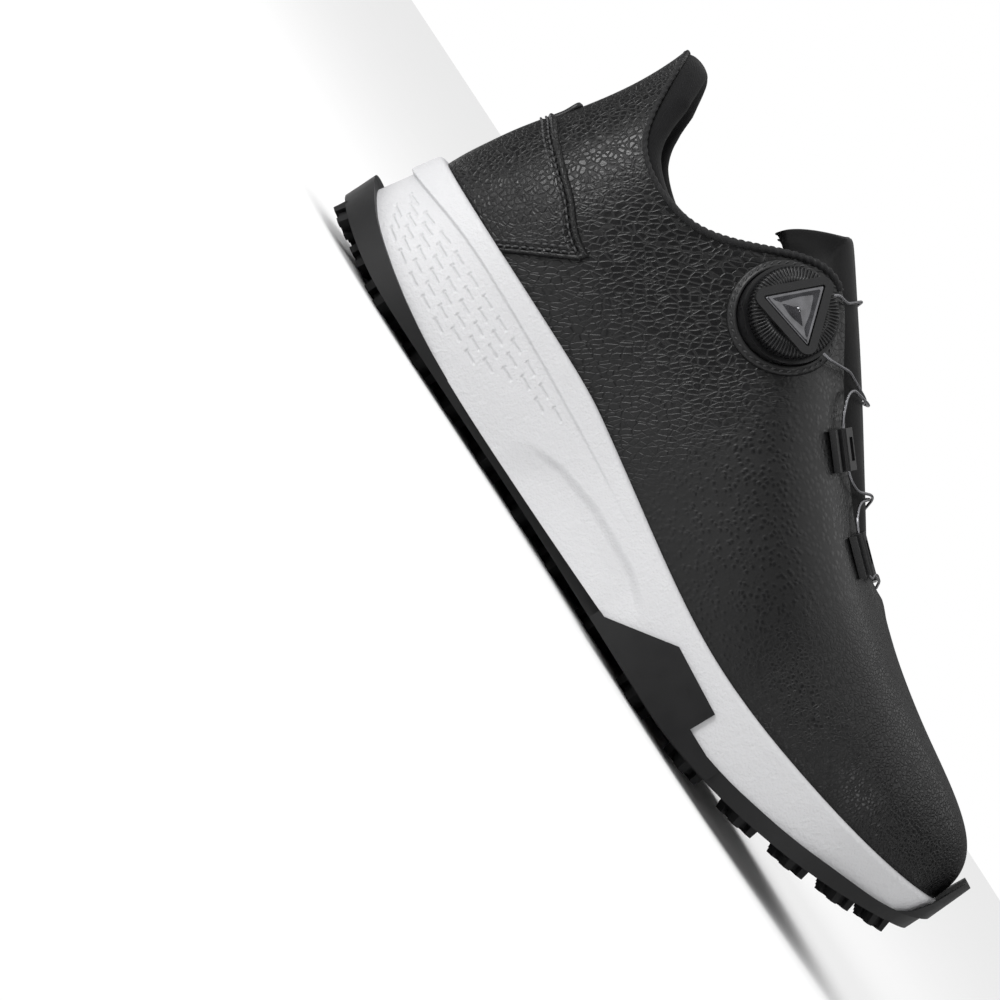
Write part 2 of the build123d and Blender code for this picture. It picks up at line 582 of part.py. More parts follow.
def make_dial():
    """Every piece of the dial in the dial's frame, by node name."""
    floor = -HOUSING_DEPTH + HOUSING_FLOOR
    housing = disc(HOUSING_RADIUS, -HOUSING_DEPTH, HOUSING_TOP)
    housing -= disc(CHAMBER_RADIUS, floor, HOUSING_TOP + 1)
    tooth = Pos(CHAMBER_RADIUS + 0.1, 0, HOUSING_TOP - 0.9) * Rot(0, 0, 45) * Box(1.1, 1.1, 1.6)
    for k in range(TOOTH_COUNT):
        housing += Rot(0, 0, k * 360.0 / TOOTH_COUNT) * tooth
    housing += disc(POST_RADIUS, floor - 0.2, HOUSING_TOP)
    housing -= disc(1.2, floor + 0.6, HOUSING_TOP + 1)
    for angle in PORT_ANGLES:
        housing -= port(angle)

    spool_low, spool_high = floor + RUN_GAP, 2.8
    bore = POST_RADIUS + SHAFT_GAP
    spool = disc(SPOOL_RADIUS, spool_low, spool_low + 0.9, bore)
    spool += disc(DRUM_RADIUS, spool_low, spool_high, bore)
    spool += disc(SPOOL_RADIUS, spool_high - 0.9, spool_high, bore)
    drive = disc(6.0, 1.6, spool_high + 1, bore)
    for k in range(6):
        drive -= Rot(0, 0, 60 * k) * Pos(6.0, 0, 2.5) * Box(2.0, 1.6, 8)
    spool -= drive
    winding = disc(DRUM_RADIUS + 3.0, spool_low + 1.0, spool_high - 1.0, DRUM_RADIUS + 0.05)

    hub = disc(6.0 - RUN_GAP, 2.0, 3.4, bore + 0.2)
    for k in range(6):
        hub -= Rot(0, 0, 60 * k) * Pos(6.0, 0, 2.7) * Box(2.0 + 2 * RUN_GAP, 1.6 + 2 * RUN_GAP, 8)
    pawls = disc(9.4, 3.4, 4.4, bore + 0.2) + hub
    for k in range(4):
        arm = Rot(0, 0, 90 * k) * (Pos(8.6, 3.2, 3.9) * Rot(0, 0, 62) * Box(7.0, 1.2, 1.0))
        pawls += arm

    knob_low = HOUSING_TOP + RUN_GAP
    core = disc(KNOB_RADIUS - 1.4, knob_low, 9.6)
    core -= disc(11.2, knob_low - 1, 6.6)
    core -= disc(4.6, 6.0, 8.6)
    core -= disc(2.6, 4.0, 9.0)
    core += disc(9.0, 4.45, 6.8, 4.6)
    cone = Pos(0, 0, 10.1) * Cone(KNOB_RADIUS - 1.5, 11.5, 1.0)
    core += cone
    core -= disc(8.2, 9.0, 12.0)
    grip = disc(KNOB_RADIUS, knob_low, 9.2, KNOB_RADIUS - 1.4 + 0.02)
    rib_cut = Pos(KNOB_RADIUS + 0.1, 0, 7.2) * Box(0.9, 0.9, 6)
    for k in range(48):
        grip -= Rot(0, 0, k * 7.5) * rib_cut

    bushing = disc(4.2, 6.4, 8.2, 1.5 + SHAFT_GAP) + disc(2.3, 5.0, 6.4, 1.5 + SHAFT_GAP)
    screw = disc(1.1, floor + 1.0, HOUSING_TOP + 0.02) + disc(1.5, HOUSING_TOP + 0.02, 8.5)
    corners = [(CAP_REACH * numpy.cos(a), CAP_REACH * numpy.sin(a)) for a in numpy.radians((97, 217, 337))]
    plate = extrude(fillet(Face(Wire(Polyline(*corners, close=True).edges())).vertices(), 3.4), amount=1.7)
    frame = Pos(0, 0, 10.65) * plate
    inner = [(x * 0.7, y * 0.7) for x, y in corners]
    seat = extrude(fillet(Face(Wire(Polyline(*inner, close=True).edges())).vertices(), 0.6), amount=2)
    frame -= Pos(0, 0, 11.45) * seat
    frame += disc(7.9, 9.1, 10.8)
    inset = [(x * 0.675, y * 0.675) for x, y in corners]
    inlay = extrude(fillet(Face(Wire(Polyline(*inset, close=True).edges())).vertices(), 0.5), amount=1.1)
    inlay = Pos(0, 0, 11.47) * chamfer(inlay.faces().sort_by(Axis.Z)[-1].edges(), 0.5)
    return {
        "dial_housing": housing, "spool": spool, "lace_winding": winding, "pawl_disc": pawls, "knob_core": core,
        "knob_grip": grip, "detent_bushing": bushing, "dial_screw": screw, "cap_frame": frame, "cap_inlay": inlay,
    }


def port_point(angle, radius):
    turn = numpy.radians(angle)
    return dial_plane.from_local_coords(Vector(radius * numpy.cos(turn), radius * numpy.sin(turn), 2.2))


def over_skin(t, v, lift):
    """Point above the upper's outer surface."""
    return Vector(*(skin_point(t, v) + skin_normal(t, v) * lift))


def lace_route():
    """Points of the lace from the dial's upper port through the five guides to the lower port."""
    low, high = LACE_RADIUS + 1.3, 3 * LACE_RADIUS + 1.9
    lateral, medial = 0.0, 2.0 * HALF
    points = [port_point(PORT_ANGLES[0], 12.6), port_point(PORT_ANGLES[0], 19.0), over_skin(lateral + 8.25, 0.985, 2.4)]
    points += [over_tongue(2.0, 0, low), over_skin(medial - 8.3, 0.99, 2.2)]
    points += [guide_exit("medial_guide_1", -1), guide_exit("medial_guide_1", 1)]
    points += [over_skin(medial - 9.35, 1.0, 2.4), over_tongue(3.3, 0, high), over_skin(lateral + 9.25, 1.0, 2.4)]
    points += [guide_exit("lateral_guide_1", -1), guide_exit("lateral_guide_1", 1)]
    points += [over_skin(lateral + 10.5, 1.0, 2.4), over_tongue(4.12, 0, high), over_skin(medial - 10.8, 1.0, 2.4)]
    points += [guide_exit("medial_guide_3", -1), guide_exit("medial_guide_3", 1, 3.4)]
    points += [over_skin(medial - 12.4, 1.0, 2.3), over_tongue(5.25, 0, high), over_skin(lateral + 12.1, 1.0, 2.0)]
    points += [guide_exit("lateral_guide_2", 1), guide_exit("lateral_guide_2", -1)]
    points += [over_skin(lateral + 10.65, 1.0, 2.4), over_tongue(4.15, 0, low), over_skin(medial - 10.6, 1.0, 2.4)]
    points += [guide_exit("medial_guide_2", 1), guide_exit("medial_guide_2", -1)]
    points += [over_skin(medial - 9.4, 1.0, 2.4), over_tongue(3.25, 0, low), over_skin(lateral + 9.1, 1.0, 2.4)]
    points += [port_point(PORT_ANGLES[1], 19.0), port_point(PORT_ANGLES[1], 12.6)]
    return points


def lace_radii(points):
    """One arc for each corner, as large as its two runs allow and no larger than a guide's mouth asks."""
    radii = []
    for before, here, after in zip(points, points[1:], points[2:]):
        a, b = here - before, after - here
        turn = numpy.radians(a.get_angle(b))
        radii.append(min(0.45 * min(a.length, b.length) / numpy.tan(turn / 2), 12.0))
    return radii


def make_lace():
    points = lace_route()
    radii = lace_radii(points)
    print("lace radii", [round(r, 1) for r in radii])
    path = FilletPolyline(*points, radius=radii)
    start = Plane(origin=points[0], z_dir=points[1] - points[0])
    wire = Wire(path.edges())
    lace = sweep(start * Circle(LACE_RADIUS), path=wire)
    print("lace length", round(wire.length, 1), "volume share", lace.volume / (wire.length * 3.14159265 * LACE_RADIUS**2))
    return lace


def make_parts():
    """Every node of the shoe by name."""
    wall = envelope(0.0)
    parts = {"outsole": make_outsole(wall), "midsole": make_midsole(wall)}
    inside = SKIN + CORE + LINING + 3 * LAYER_GAP
    parts["strobel_board"] = footbed(inside + 0.3, 0.1, 0.1 + STROBEL)
    parts["sockliner"] = footbed(inside + 4.0, 0.2 + STROBEL, 0.2 + STROBEL + SOCKLINER)

    dial_hole = on_dial(disc(HOUSING_RADIUS + 0.15, -12.0, 20.0))
    dial_pocket = on_dial(disc(HOUSING_RADIUS + 0.15, -HOUSING_DEPTH - 0.15, 20.0))
    core_low, core_high = flat(SKIN + LAYER_GAP), lambda t, v: SKIN + LAYER_GAP + core_depth(t, v)
    parts["upper_shell"] = layer(0.004, 1.0, flat(0.0), flat(SKIN)) - dial_hole
    counter_top = 0.56
    lower_core = layer(0.01, counter_top, core_low, core_high)
    upper_core = layer(counter_top + 0.01, 0.965, core_low, core_high)
    back, front, collar_end = -74.0 * grade_x, 96.0 * grade_x, -44.0 * grade_x
    parts["heel_counter"] = lower_core & block(-170, back)
    parts["toe_puff"] = lower_core & block(front, 170)
    collar_zone = block(-170, collar_end)
    parts["collar_foam"] = (upper_core & collar_zone) - dial_pocket
    sides = lower_core & block(back + 0.3, front - 0.3)
    parts["quarter_foam"] = (sides + (upper_core & block(collar_end + 0.3, 170))) - dial_pocket
    parts["lining"] = lining_ring() - dial_pocket
    parts["heel_overlay"] = layer(0.006, 0.72, flat(-OVERLAY), flat(-0.05)) & side_prism(graded(OVERLAY_OUTLINE))
    piping = layer(0.962, 1.0, flat(-1.5), flat(-0.05))
    parts["collar_binding"] = piping & block(-170, -36.0 * grade_x) - dial_hole
    ring = on_dial(disc(FLANGE_RADIUS, -12, 12, HOUSING_RADIUS + 0.15))
    parts["dial_flange"] = layer(0.30, 0.955, flat(-1.3), flat(-0.05)) & ring & block(-70, 0, -90, 0)

    parts["tongue_shell"] = tongue_layer(flat(0.0), skin_of_tongue)
    foam_top, foam_bottom = gap_under(skin_of_tongue, 0.12), lambda s, a: tongue_bulge(s, a) - skin_of_tongue(s, a) - 0.12
    parts["tongue_foam"] = tongue_layer(foam_top, foam_bottom, 0.02)
    parts["tongue_lining"] = tongue_layer(lambda s, a: tongue_bulge(s, a) - skin_of_tongue(s, a), tongue_bulge)

    for name in GUIDE_PLACES:
        parts[name] = make_guide(name)
    for name, piece in make_dial().items():
        parts[name] = on_dial(piece)
    parts["lace"] = make_lace()
    return parts


if __name__ == "__main__":
    os.makedirs("parts", exist_ok=True)
    for node, shape in make_parts().items():
        export_step(shape, f"parts/{node}.step")
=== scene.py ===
"""Leather, foam, rubber, dial and stitching of a right-foot golf shoe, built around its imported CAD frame.

Lengths in the shape functions are millimetres: +X to the toe, +Y to the medial side, +Z up.
"""

import math

import bpy
import numpy as np
from mathutils import Matrix, Vector


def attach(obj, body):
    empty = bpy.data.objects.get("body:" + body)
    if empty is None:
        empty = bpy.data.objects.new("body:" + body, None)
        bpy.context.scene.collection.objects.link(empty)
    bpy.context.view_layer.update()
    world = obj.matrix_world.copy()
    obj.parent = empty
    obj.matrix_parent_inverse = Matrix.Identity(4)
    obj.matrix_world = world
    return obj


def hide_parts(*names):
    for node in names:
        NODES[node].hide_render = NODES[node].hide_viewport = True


bl_info = {
    "name": "Golf shoe with a dial closure",
    "version": (1, 0, 0),
    "blender": (4, 5, 0),
    "location": "3D View > Sidebar > Golf Shoe",
    "description": "Builds the visible pieces of a spikeless golf shoe on its CAD frame",
    "category": "Add Mesh",
}

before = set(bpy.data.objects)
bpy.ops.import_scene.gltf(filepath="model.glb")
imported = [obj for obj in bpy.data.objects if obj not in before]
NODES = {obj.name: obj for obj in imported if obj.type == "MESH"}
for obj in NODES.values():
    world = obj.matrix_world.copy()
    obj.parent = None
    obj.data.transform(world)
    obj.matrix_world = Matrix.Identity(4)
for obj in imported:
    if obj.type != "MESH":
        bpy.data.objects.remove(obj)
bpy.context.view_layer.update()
MM = 0.001
WRINKLE_SLANT = math.radians(33.0)
GRAIN_WARP = (0.0022, 0.0022, 0.0022)
STITCH_RADIUS = 0.42
STITCH_STEP = 2.7
DIAL_HOLE = 14.9
DIAL_HOLE_DEPTH = 9.0
DIAL_STITCH_CIRCLE = 18.25
DIAL_STITCH_HEIGHT = 1.22
PLEAT_DEPTH = 0.18
PLEAT_COUNT = 46.0
INSERT_CORNER = 12.3
INSERT_TOP = 12.45
KNOB_RIBS = 72.0
KNOB_STEPS = 1008
TONGUE_WRAP_BACK = 9.0
TONGUE_WRAP_IN = 0.14
TONGUE_WRAP_DOWN = 3.0
PIPING_TWIST = 2.6
DASH_ROWS = 6
DASH_PITCH = 8.6
DASH_DEPTH = 0.5
FLOOR_REACH = 2600.0

# Sizes shared with the CAD source
SKIN = 1.6
CORE = 1.8
COLLAR_PADDING = 8.5
LINING = 1.0
LAYER_GAP = 0.3
OVERLAY = 1.3
STROBEL = 1.5
SOCKLINER = 5.0
MIDSOLE_LEDGE = 2.5
TONGUE_RADIUS = 17.6
TONGUE_THICKNESS = 8.5
TONGUE_WING = 2.0
DIAL_CENTRE = np.array([-37.0, -30.6, 110.0])
DIAL_AXIS = np.array([0.05, -0.92, 0.38])

STATIONS = [
    (-142.0, 0.0, 0.0, -131.0, 0.0, 131.0, 34.0, -1.0, 31.0, -3.0, 0.17, 11.2),
    (-138.0, -15.0, 16.0, -127.5, 13.0, 127.0, 30.0, 0.0, 27.0, -1.5, 0.17, 10.9),
    (-125.0, -26.5, 28.0, -119.0, 24.0, 113.0, 26.0, 1.5, 21.0, 1.0, 0.16, 10.6),
    (-105.0, -33.0, 34.0, -108.0, 30.5, 101.5, 22.0, 2.5, 17.0, 2.0, 0.15, 10.4),
    (-82.0, -35.0, 34.5, -92.0, 33.5, 98.5, 21.0, 2.5, 16.0, 1.5, 0.13, 7.6),
    (-58.0, -35.0, 32.0, -77.0, 32.5, 102.0, 24.0, 2.5, 18.0, 3.0, 0.12, 4.4),
    (-34.0, -36.0, 30.0, -64.0, 29.5, 112.0, 28.0, 3.0, 20.0, 6.0, 0.12, 1.4),
    (-10.0, -40.0, 32.0, -51.0, 24.0, 125.0, 32.0, 3.0, 20.0, 10.0, 0.13, 0.0),
    (14.0, -45.0, 37.5, -36.0, 17.5, 130.0, 34.0, 3.0, 17.0, 17.0, 0.16, 1.0),
    (38.0, -49.0, 44.5, -15.0, 15.5, 117.5, 33.0, 3.0, 13.0, 20.0, 0.18, 4.2),
    (62.0, -50.6, 50.0, 10.0, 13.5, 102.5, 31.0, 3.0, 10.0, 23.0, 0.18, 6.4),
    (87.0, -48.0, 50.55, 32.0, 10.5, 91.5, 29.0, 2.5, 8.0, 27.0, 0.17, 6.8),
    (112.0, -40.5, 46.0, 47.0, 7.0, 86.5, 29.0, 2.0, 11.0, 34.0, 0.13, 6.4),
    (135.0, -24.0, 32.0, 55.0, 3.6, 85.6, 31.0, 1.5, 17.0, 43.0, 0.08, 5.0),
    (148.6, 0.0, 0.0, 57.0, 0.0, 85.5, 33.0, 1.0, 20.0, 50.0, 0.05, 3.2),
]
FEATHER_LINE = [
    (-152.0, 44.0), (-108.0, 44.0), (-62.0, 43.6), (-40.0, 41.8), (-18.0, 38.4), (5.0, 34.8), (27.0, 32.0),
    (48.0, 30.9), (71.0, 32.0), (94.0, 34.7), (116.0, 38.2), (138.0, 43.0), (156.0, 49.0),
]
RIM_LINE = [
    (-158.0, 23.5), (-148.0, 20.0), (-138.0, 16.0), (-118.0, 11.4), (-95.0, 8.2), (-68.0, 6.9), (-28.0, 7.2),
    (12.0, 8.6), (45.0, 10.2), (71.0, 12.6), (87.0, 15.8), (105.0, 20.6), (123.0, 26.6), (138.0, 31.6),
    (149.0, 37.5), (158.0, 46.0),
]
RIDGE_LINE = [
    (-50.0, 143.0), (-45.0, 141.0), (-30.0, 132.5), (-8.0, 119.8), (22.0, 101.6), (44.0, 88.0), (56.0, 80.6),
    (68.0, 74.4),
]
RIDGE_END = len(RIDGE_LINE) - 1
GUIDES = ("lateral_guide_1", "lateral_guide_2", "medial_guide_1", "medial_guide_2", "medial_guide_3")
HALF = len(STATIONS) - 1


# Shape of the shoe

def smooth(rows, closed=False):
    """Cubic spline through rows of numbers, one unit of its parameter from each row to the next."""
    rows = np.array(rows, float)
    count = len(rows)
    matrix, right = np.eye(count), np.zeros_like(rows)
    for i in range(count):
        if closed or 0 < i < count - 1:
            before, after = (i - 1) % count, (i + 1) % count
            matrix[i, i], matrix[i, before], matrix[i, after] = 4.0, 1.0, 1.0
            right[i] = 6.0 * (rows[before] - 2.0 * rows[i] + rows[after])
    bend = np.linalg.solve(matrix, right)

    def at(t):
        t = np.asarray(t, float)
        t = t % count if closed else np.clip(t, 0.0, count - 1.0)
        i = np.minimum(t.astype(int), count - 1 if closed else count - 2)
        s = (t - i)[..., None]
        j = (i + 1) % count
        r = 1.0 - s
        return r * rows[i] + s * rows[j] + ((r**3 - r) * bend[i] + (s**3 - s) * bend[j]) / 6.0

    return at


def height_over(points):
    """Height as a function of x along a smooth line of (x, z) points."""
    dense = smooth(points)(np.linspace(0, len(points) - 1, 40 * len(points)))
    return lambda x: np.interp(x, dense[:, 0], dense[:, 1])


def ease(x, low, high):
    """0 before low, 1 after high, smooth between."""
    t = np.clip((np.asarray(x, float) - low) / (high - low), 0.0, 1.0)
    return t * t * (3.0 - 2.0 * t)


def bump(x, centre, width):
    """Smooth hump, 1 at its centre and 0 from a width away."""
    return 1.0 - ease(np.abs(np.asarray(x, float) - centre), 0.0, width)


feather_z = height_over(FEATHER_LINE)
rim_z = height_over(RIM_LINE)
ridge = smooth(RIDGE_LINE)


def station_rows():
    rows = []
    for side, order in ((-1, range(0, HALF + 1)), (1, range(HALF - 1, 0, -1))):
        for i in order:
            x, lateral, medial, ex, ey, ez, *rest = STATIONS[i]
            rows.append((x, lateral if side < 0 else medial, ex, side * ey, ez, *rest))
    return rows


around = smooth(station_rows(), closed=True)


def unit(a):
    return a / np.maximum(np.linalg.norm(a, axis=-1, keepdims=True), 1e-9)


def rib(t):
    """The four control points of the rib at each station, the outward direction and the row of values."""
    row = around(t)
    turn = around(np.asarray(t) + 0.01)[..., :2] - around(np.asarray(t) - 0.01)[..., :2]
    out = unit(np.stack([turn[..., 1], -turn[..., 0], 0.0 * turn[..., 0]], -1))
    up = np.array([0.0, 0.0, 1.0])
    foot = np.stack([row[..., 0], row[..., 1], feather_z(row[..., 0])], -1)
    edge = row[..., 2:5]
    low = foot + out * row[..., 6:7] + up * row[..., 5:6]
    high = edge + out * row[..., 8:9] - up * row[..., 7:8]
    return foot, low, high, edge, out, row


def skin_point(t, v):
    """Point on the upper's outer surface: v is 0 at the feather line and 1 at the opening's edge."""
    t, v = np.broadcast_arrays(np.asarray(t, float), np.asarray(v, float))
    a, b, c, d, _, _ = rib(t)
    v = v[..., None]
    w = 1.0 - v
    return a * w**3 + 3.0 * b * w * w * v + 3.0 * c * w * v * v + d * v**3


def skin_normal(t, v):
    t, v = np.broadcast_arrays(np.asarray(t, float), np.asarray(v, float))
    along = skin_point(t + 0.02, v) - skin_point(t - 0.02, v)
    up = skin_point(t, np.minimum(v + 0.01, 1.0)) - skin_point(t, np.maximum(v - 0.01, 0.0))
    return unit(np.cross(along, up))


def folded(t):
    """Station number within a half, from 0 at the heel to HALF at the toe."""
    t = np.asarray(t, float) % (2 * HALF)
    return np.minimum(t, 2 * HALF - t)


def core_depth(t, v):
    collar = 1.0 - ease(folded(t), 4.0, 6.6)
    return CORE + (COLLAR_PADDING - CORE) * collar * ease(v, 0.5, 0.86)


def tongue_bulge(s, angle):
    crown = TONGUE_THICKNESS * (1.0 - 0.84 * ease(s, 4.2, RIDGE_END - 0.2))
    narrow = ease(s, 3.4, 5.4)
    low, high = np.radians(9 - 5 * narrow), np.radians(27 - 14 * narrow)
    spread = 1.0 - ease((np.abs(angle) - low) / (high - low), 0.0, 1.0)
    share = np.maximum(spread, 1.0 - ease(s, 0.3, 1.5))
    return np.where(crown > TONGUE_WING, TONGUE_WING * (1.0 - share) + crown * share, crown)


def tongue_point(s, angle, depth):
    """Point under the tongue's outer surface."""
    s, angle = np.broadcast_arrays(np.asarray(s, float), np.asarray(angle, float))
    here = ridge(s)
    run = unit(ridge(s + 0.02) - ridge(s - 0.02))
    zero = np.zeros_like(s)
    top = np.stack([here[..., 0], zero, here[..., 1]], -1)
    up = np.stack([-run[..., 1], zero, run[..., 0]], -1)
    across = np.array([0.0, 1.0, 0.0])
    centre = top - up * (TONGUE_RADIUS + tongue_bulge(s, zero))[..., None]
    radius = (TONGUE_RADIUS + tongue_bulge(s, angle) - depth)[..., None]
    return centre + (up * np.cos(angle)[..., None] + across * np.sin(angle)[..., None]) * radius


def dial_matrix():
    z = DIAL_AXIS / np.linalg.norm(DIAL_AXIS)
    x = np.array([0.95, 0.14, 0.0])
    x = unit(x - z * (x @ z))
    return np.stack([x, np.cross(z, x), z], 1)


DIAL_TURN = dial_matrix()


def from_dial(points):
    """Points of the dial's own frame, put in the shoe's frame."""
    return DIAL_CENTRE + np.asarray(points, float) @ DIAL_TURN.T


def in_dial(points):
    return (np.asarray(points, float) - DIAL_CENTRE) @ DIAL_TURN


def wave(points, size, seed):
    """Soft unevenness from crossed sine waves, between about -1 and 1."""
    draw = np.random.default_rng(seed)
    total = np.zeros(points.shape[:-1])
    for _ in range(7):
        direction = unit(draw.normal(size=3))
        length, start = size * draw.uniform(0.7, 1.5), draw.uniform(0, 6.3)
        total += np.sin(points @ direction * 2.0 * np.pi / length + start)
    return total / 7.0


# Meshes

def add_object(name, vertices, faces, material, shade=True):
    """New mesh object from millimetre vertices."""
    mesh = bpy.data.meshes.new(name)
    mesh.from_pydata((np.asarray(vertices).reshape(-1, 3) * MM).tolist(), [], faces)
    mesh.validate()
    mesh.materials.append(material)
    if shade:
        mesh.shade_smooth()
    mesh.update()
    piece = bpy.data.objects.new(name, mesh)
    bpy.context.scene.collection.objects.link(piece)
    return piece


def grid_faces(n, m, close_u=False, close_v=False, start=0, flip=False):
    """Quads over a grid of n by m vertices."""
    index = np.arange(n * m).reshape(n, m) + start
    u = np.arange(n if close_u else n - 1)
    v = np.arange(m if close_v else m - 1)
    a, b = index[np.ix_(u, v)], index[np.ix_((u + 1) % n, v)]
    c, d = index[np.ix_((u + 1) % n, (v + 1) % m)], index[np.ix_(u, (v + 1) % m)]
    quads = np.stack([a, d, c, b] if flip else [a, b, c, d], -1).reshape(-1, 4)
    return quads.tolist()


def grid_piece(name, points, material, close_u=False, close_v=False, flip=False, caps=False):
    """Object from an (n, m, 3) grid of points. Caps close the two ends of a tube."""
    n, m = points.shape[:2]
    faces = grid_faces(n, m, close_u, close_v, flip=flip)
    if caps:
        first, last = list(range(m)), list(range((n - 1) * m, n * m))
        faces += [first if flip else first[::-1], last[::-1] if flip else last]
    return add_object(name, points, faces, material)


def closed_sheet(name, outer, inner, material):
    """Piece between two like grids of points, closed round their border."""
    n, m = outer.shape[:2]
    faces = grid_faces(n, m) + grid_faces(n, m, start=n * m, flip=True)
    index = np.arange(n * m).reshape(n, m)
    border = list(index[:, 0]) + list(index[-1, 1:]) + list(index[-2::-1, -1]) + list(index[0, -2:0:-1])
    for a, b in zip(border, border[1:] + border[:1]):
        faces.append([int(b), int(a), int(a + n * m), int(b + n * m)])
    return add_object(name, np.concatenate([outer.reshape(-1, 3), inner.reshape(-1, 3)]), faces, material)


def rounded(share):
    """Quarter-circle rise from 0 to 1, level after 1."""
    return np.sqrt(np.clip(1.0 - (1.0 - np.clip(share, 0.0, 1.0)) ** 2, 0.0, 1.0))


def lathe(name, profile, material, steps, swell=None):
    """Turned piece on the dial's axis from (radius, height) pairs; swell(angle, index) adds to the radius."""
    profile = np.array(profile, float)
    angle = np.linspace(0, 2 * np.pi, steps, endpoint=False)
    radius = np.repeat(profile[None, :, 0], steps, 0)
    height = np.repeat(profile[None, :, 1], steps, 0)
    if swell is not None:
        add_r, add_z = swell(angle[:, None], np.arange(len(profile))[None, :])
        radius, height = radius + add_r, height + add_z
    points = np.stack([radius * np.cos(angle)[:, None], radius * np.sin(angle)[:, None], height], -1)
    return grid_piece(name, from_dial(points), material, close_u=True, close_v=True)


def tube(name, path, normals, radius, material, sides=10, closed=False, twist=None):
    """Tube along a path; twist(angle, distance) scales its radius."""
    path = np.asarray(path, float)
    ahead = np.roll(path, -1, 0) - np.roll(path, 1, 0) if closed else np.gradient(path, axis=0)
    along = unit(ahead)
    normals = unit(normals - along * np.sum(normals * along, -1, keepdims=True))
    side = np.cross(along, normals)
    angle = np.linspace(0, 2 * np.pi, sides, endpoint=False)
    distance = np.concatenate([[0.0], np.cumsum(np.linalg.norm(np.diff(path, axis=0), axis=1))])
    radii = np.broadcast_to(np.asarray(radius, float), len(path))[:, None] * np.ones((1, sides))
    if twist is not None:
        radii = radii * twist(angle[None, :], distance[:, None])
    ring = normals[:, None] * np.cos(angle)[None, :, None] + side[:, None] * np.sin(angle)[None, :, None]
    points = path[:, None] + ring * radii[..., None]
    return grid_piece(name, points, material, close_u=closed, close_v=True, caps=not closed)


def spread(path, step):
    """Points at an even step along a path, with the place of each as a share of the path's index."""
    path = np.asarray(path, float)
    run = np.concatenate([[0.0], np.cumsum(np.linalg.norm(np.diff(path, axis=0), axis=1))])
    count = max(int(run[-1] / step), 1)
    places = (np.arange(count) + 0.5) * run[-1] / count
    return np.interp(places, run, np.arange(len(path)))


def sample(values, places):
    """Rows between the rows of an array, at fractional places."""
    values = np.asarray(values, float)
    low = np.clip(places.astype(int), 0, len(values) - 2)
    part = (places - low)[:, None]
    return values[low] * (1.0 - part) + values[low + 1] * part


def stitches(name, rows, material, length=2.1, radius=0.32, step=3.0, tilt=0.0):
    """Thread stitches as short arched capsules along rows of (path, normals)."""
    shares = np.array([-0.5, -0.42, -0.2, 0.0, 0.2, 0.42, 0.5])
    widths = np.array([0.25, 0.75, 1.0, 1.0, 1.0, 0.75, 0.25])
    lifts = np.array([-0.75, -0.25, 0.25, 0.35, 0.25, -0.25, -0.75])
    sides = 6
    angle = np.linspace(0, 2 * np.pi, sides, endpoint=False)
    vertices, faces = [], []
    for path, normals in rows:
        places = spread(path, step)
        centre = sample(path, places)
        normal = unit(sample(normals, places))
        along = unit(sample(np.gradient(np.asarray(path, float), axis=0), places))
        along = unit(along - normal * np.sum(along * normal, -1, keepdims=True))
        side = np.cross(normal, along)
        cos, sin = math.cos(tilt), math.sin(tilt)
        along, side = along * cos + side * sin, side * cos - along * sin
        for p, n, a, b in zip(centre, normal, along, side):
            start = len(vertices) * len(shares) * sides
            spine = p + a * (shares * length)[:, None] + n * (lifts * radius)[:, None]
            ring = n[None, None] * np.sin(angle)[None, :, None] + b[None, None] * np.cos(angle)[None, :, None]
            vertices.append(spine[:, None] + ring * (widths * radius)[:, None, None])
            faces += grid_faces(len(shares), sides, close_v=True, start=start)
            faces.append([start + k for k in range(sides)][::-1])
            faces.append([start + (len(shares) - 1) * sides + k for k in range(sides)])
    return add_object(name, np.array(vertices), faces, material)


def soften(node, width, angle=35.0, segments=2):
    """Small rounded edges on a CAD node, by a bevel that leaves its mesh as it is."""
    bevel = NODES[node].modifiers.new("moulded_edges", "BEVEL")
    bevel.width = width * MM
    bevel.segments = segments
    bevel.limit_method = "ANGLE"
    bevel.angle_limit = math.radians(angle)
    bevel.use_clamp_overlap = True
    bevel.harden_normals = False


def dress(node, material):
    """Gives a CAD node its finish."""
    mesh = NODES[node].data
    mesh.materials.clear()
    mesh.materials.append(material)


# Finishes

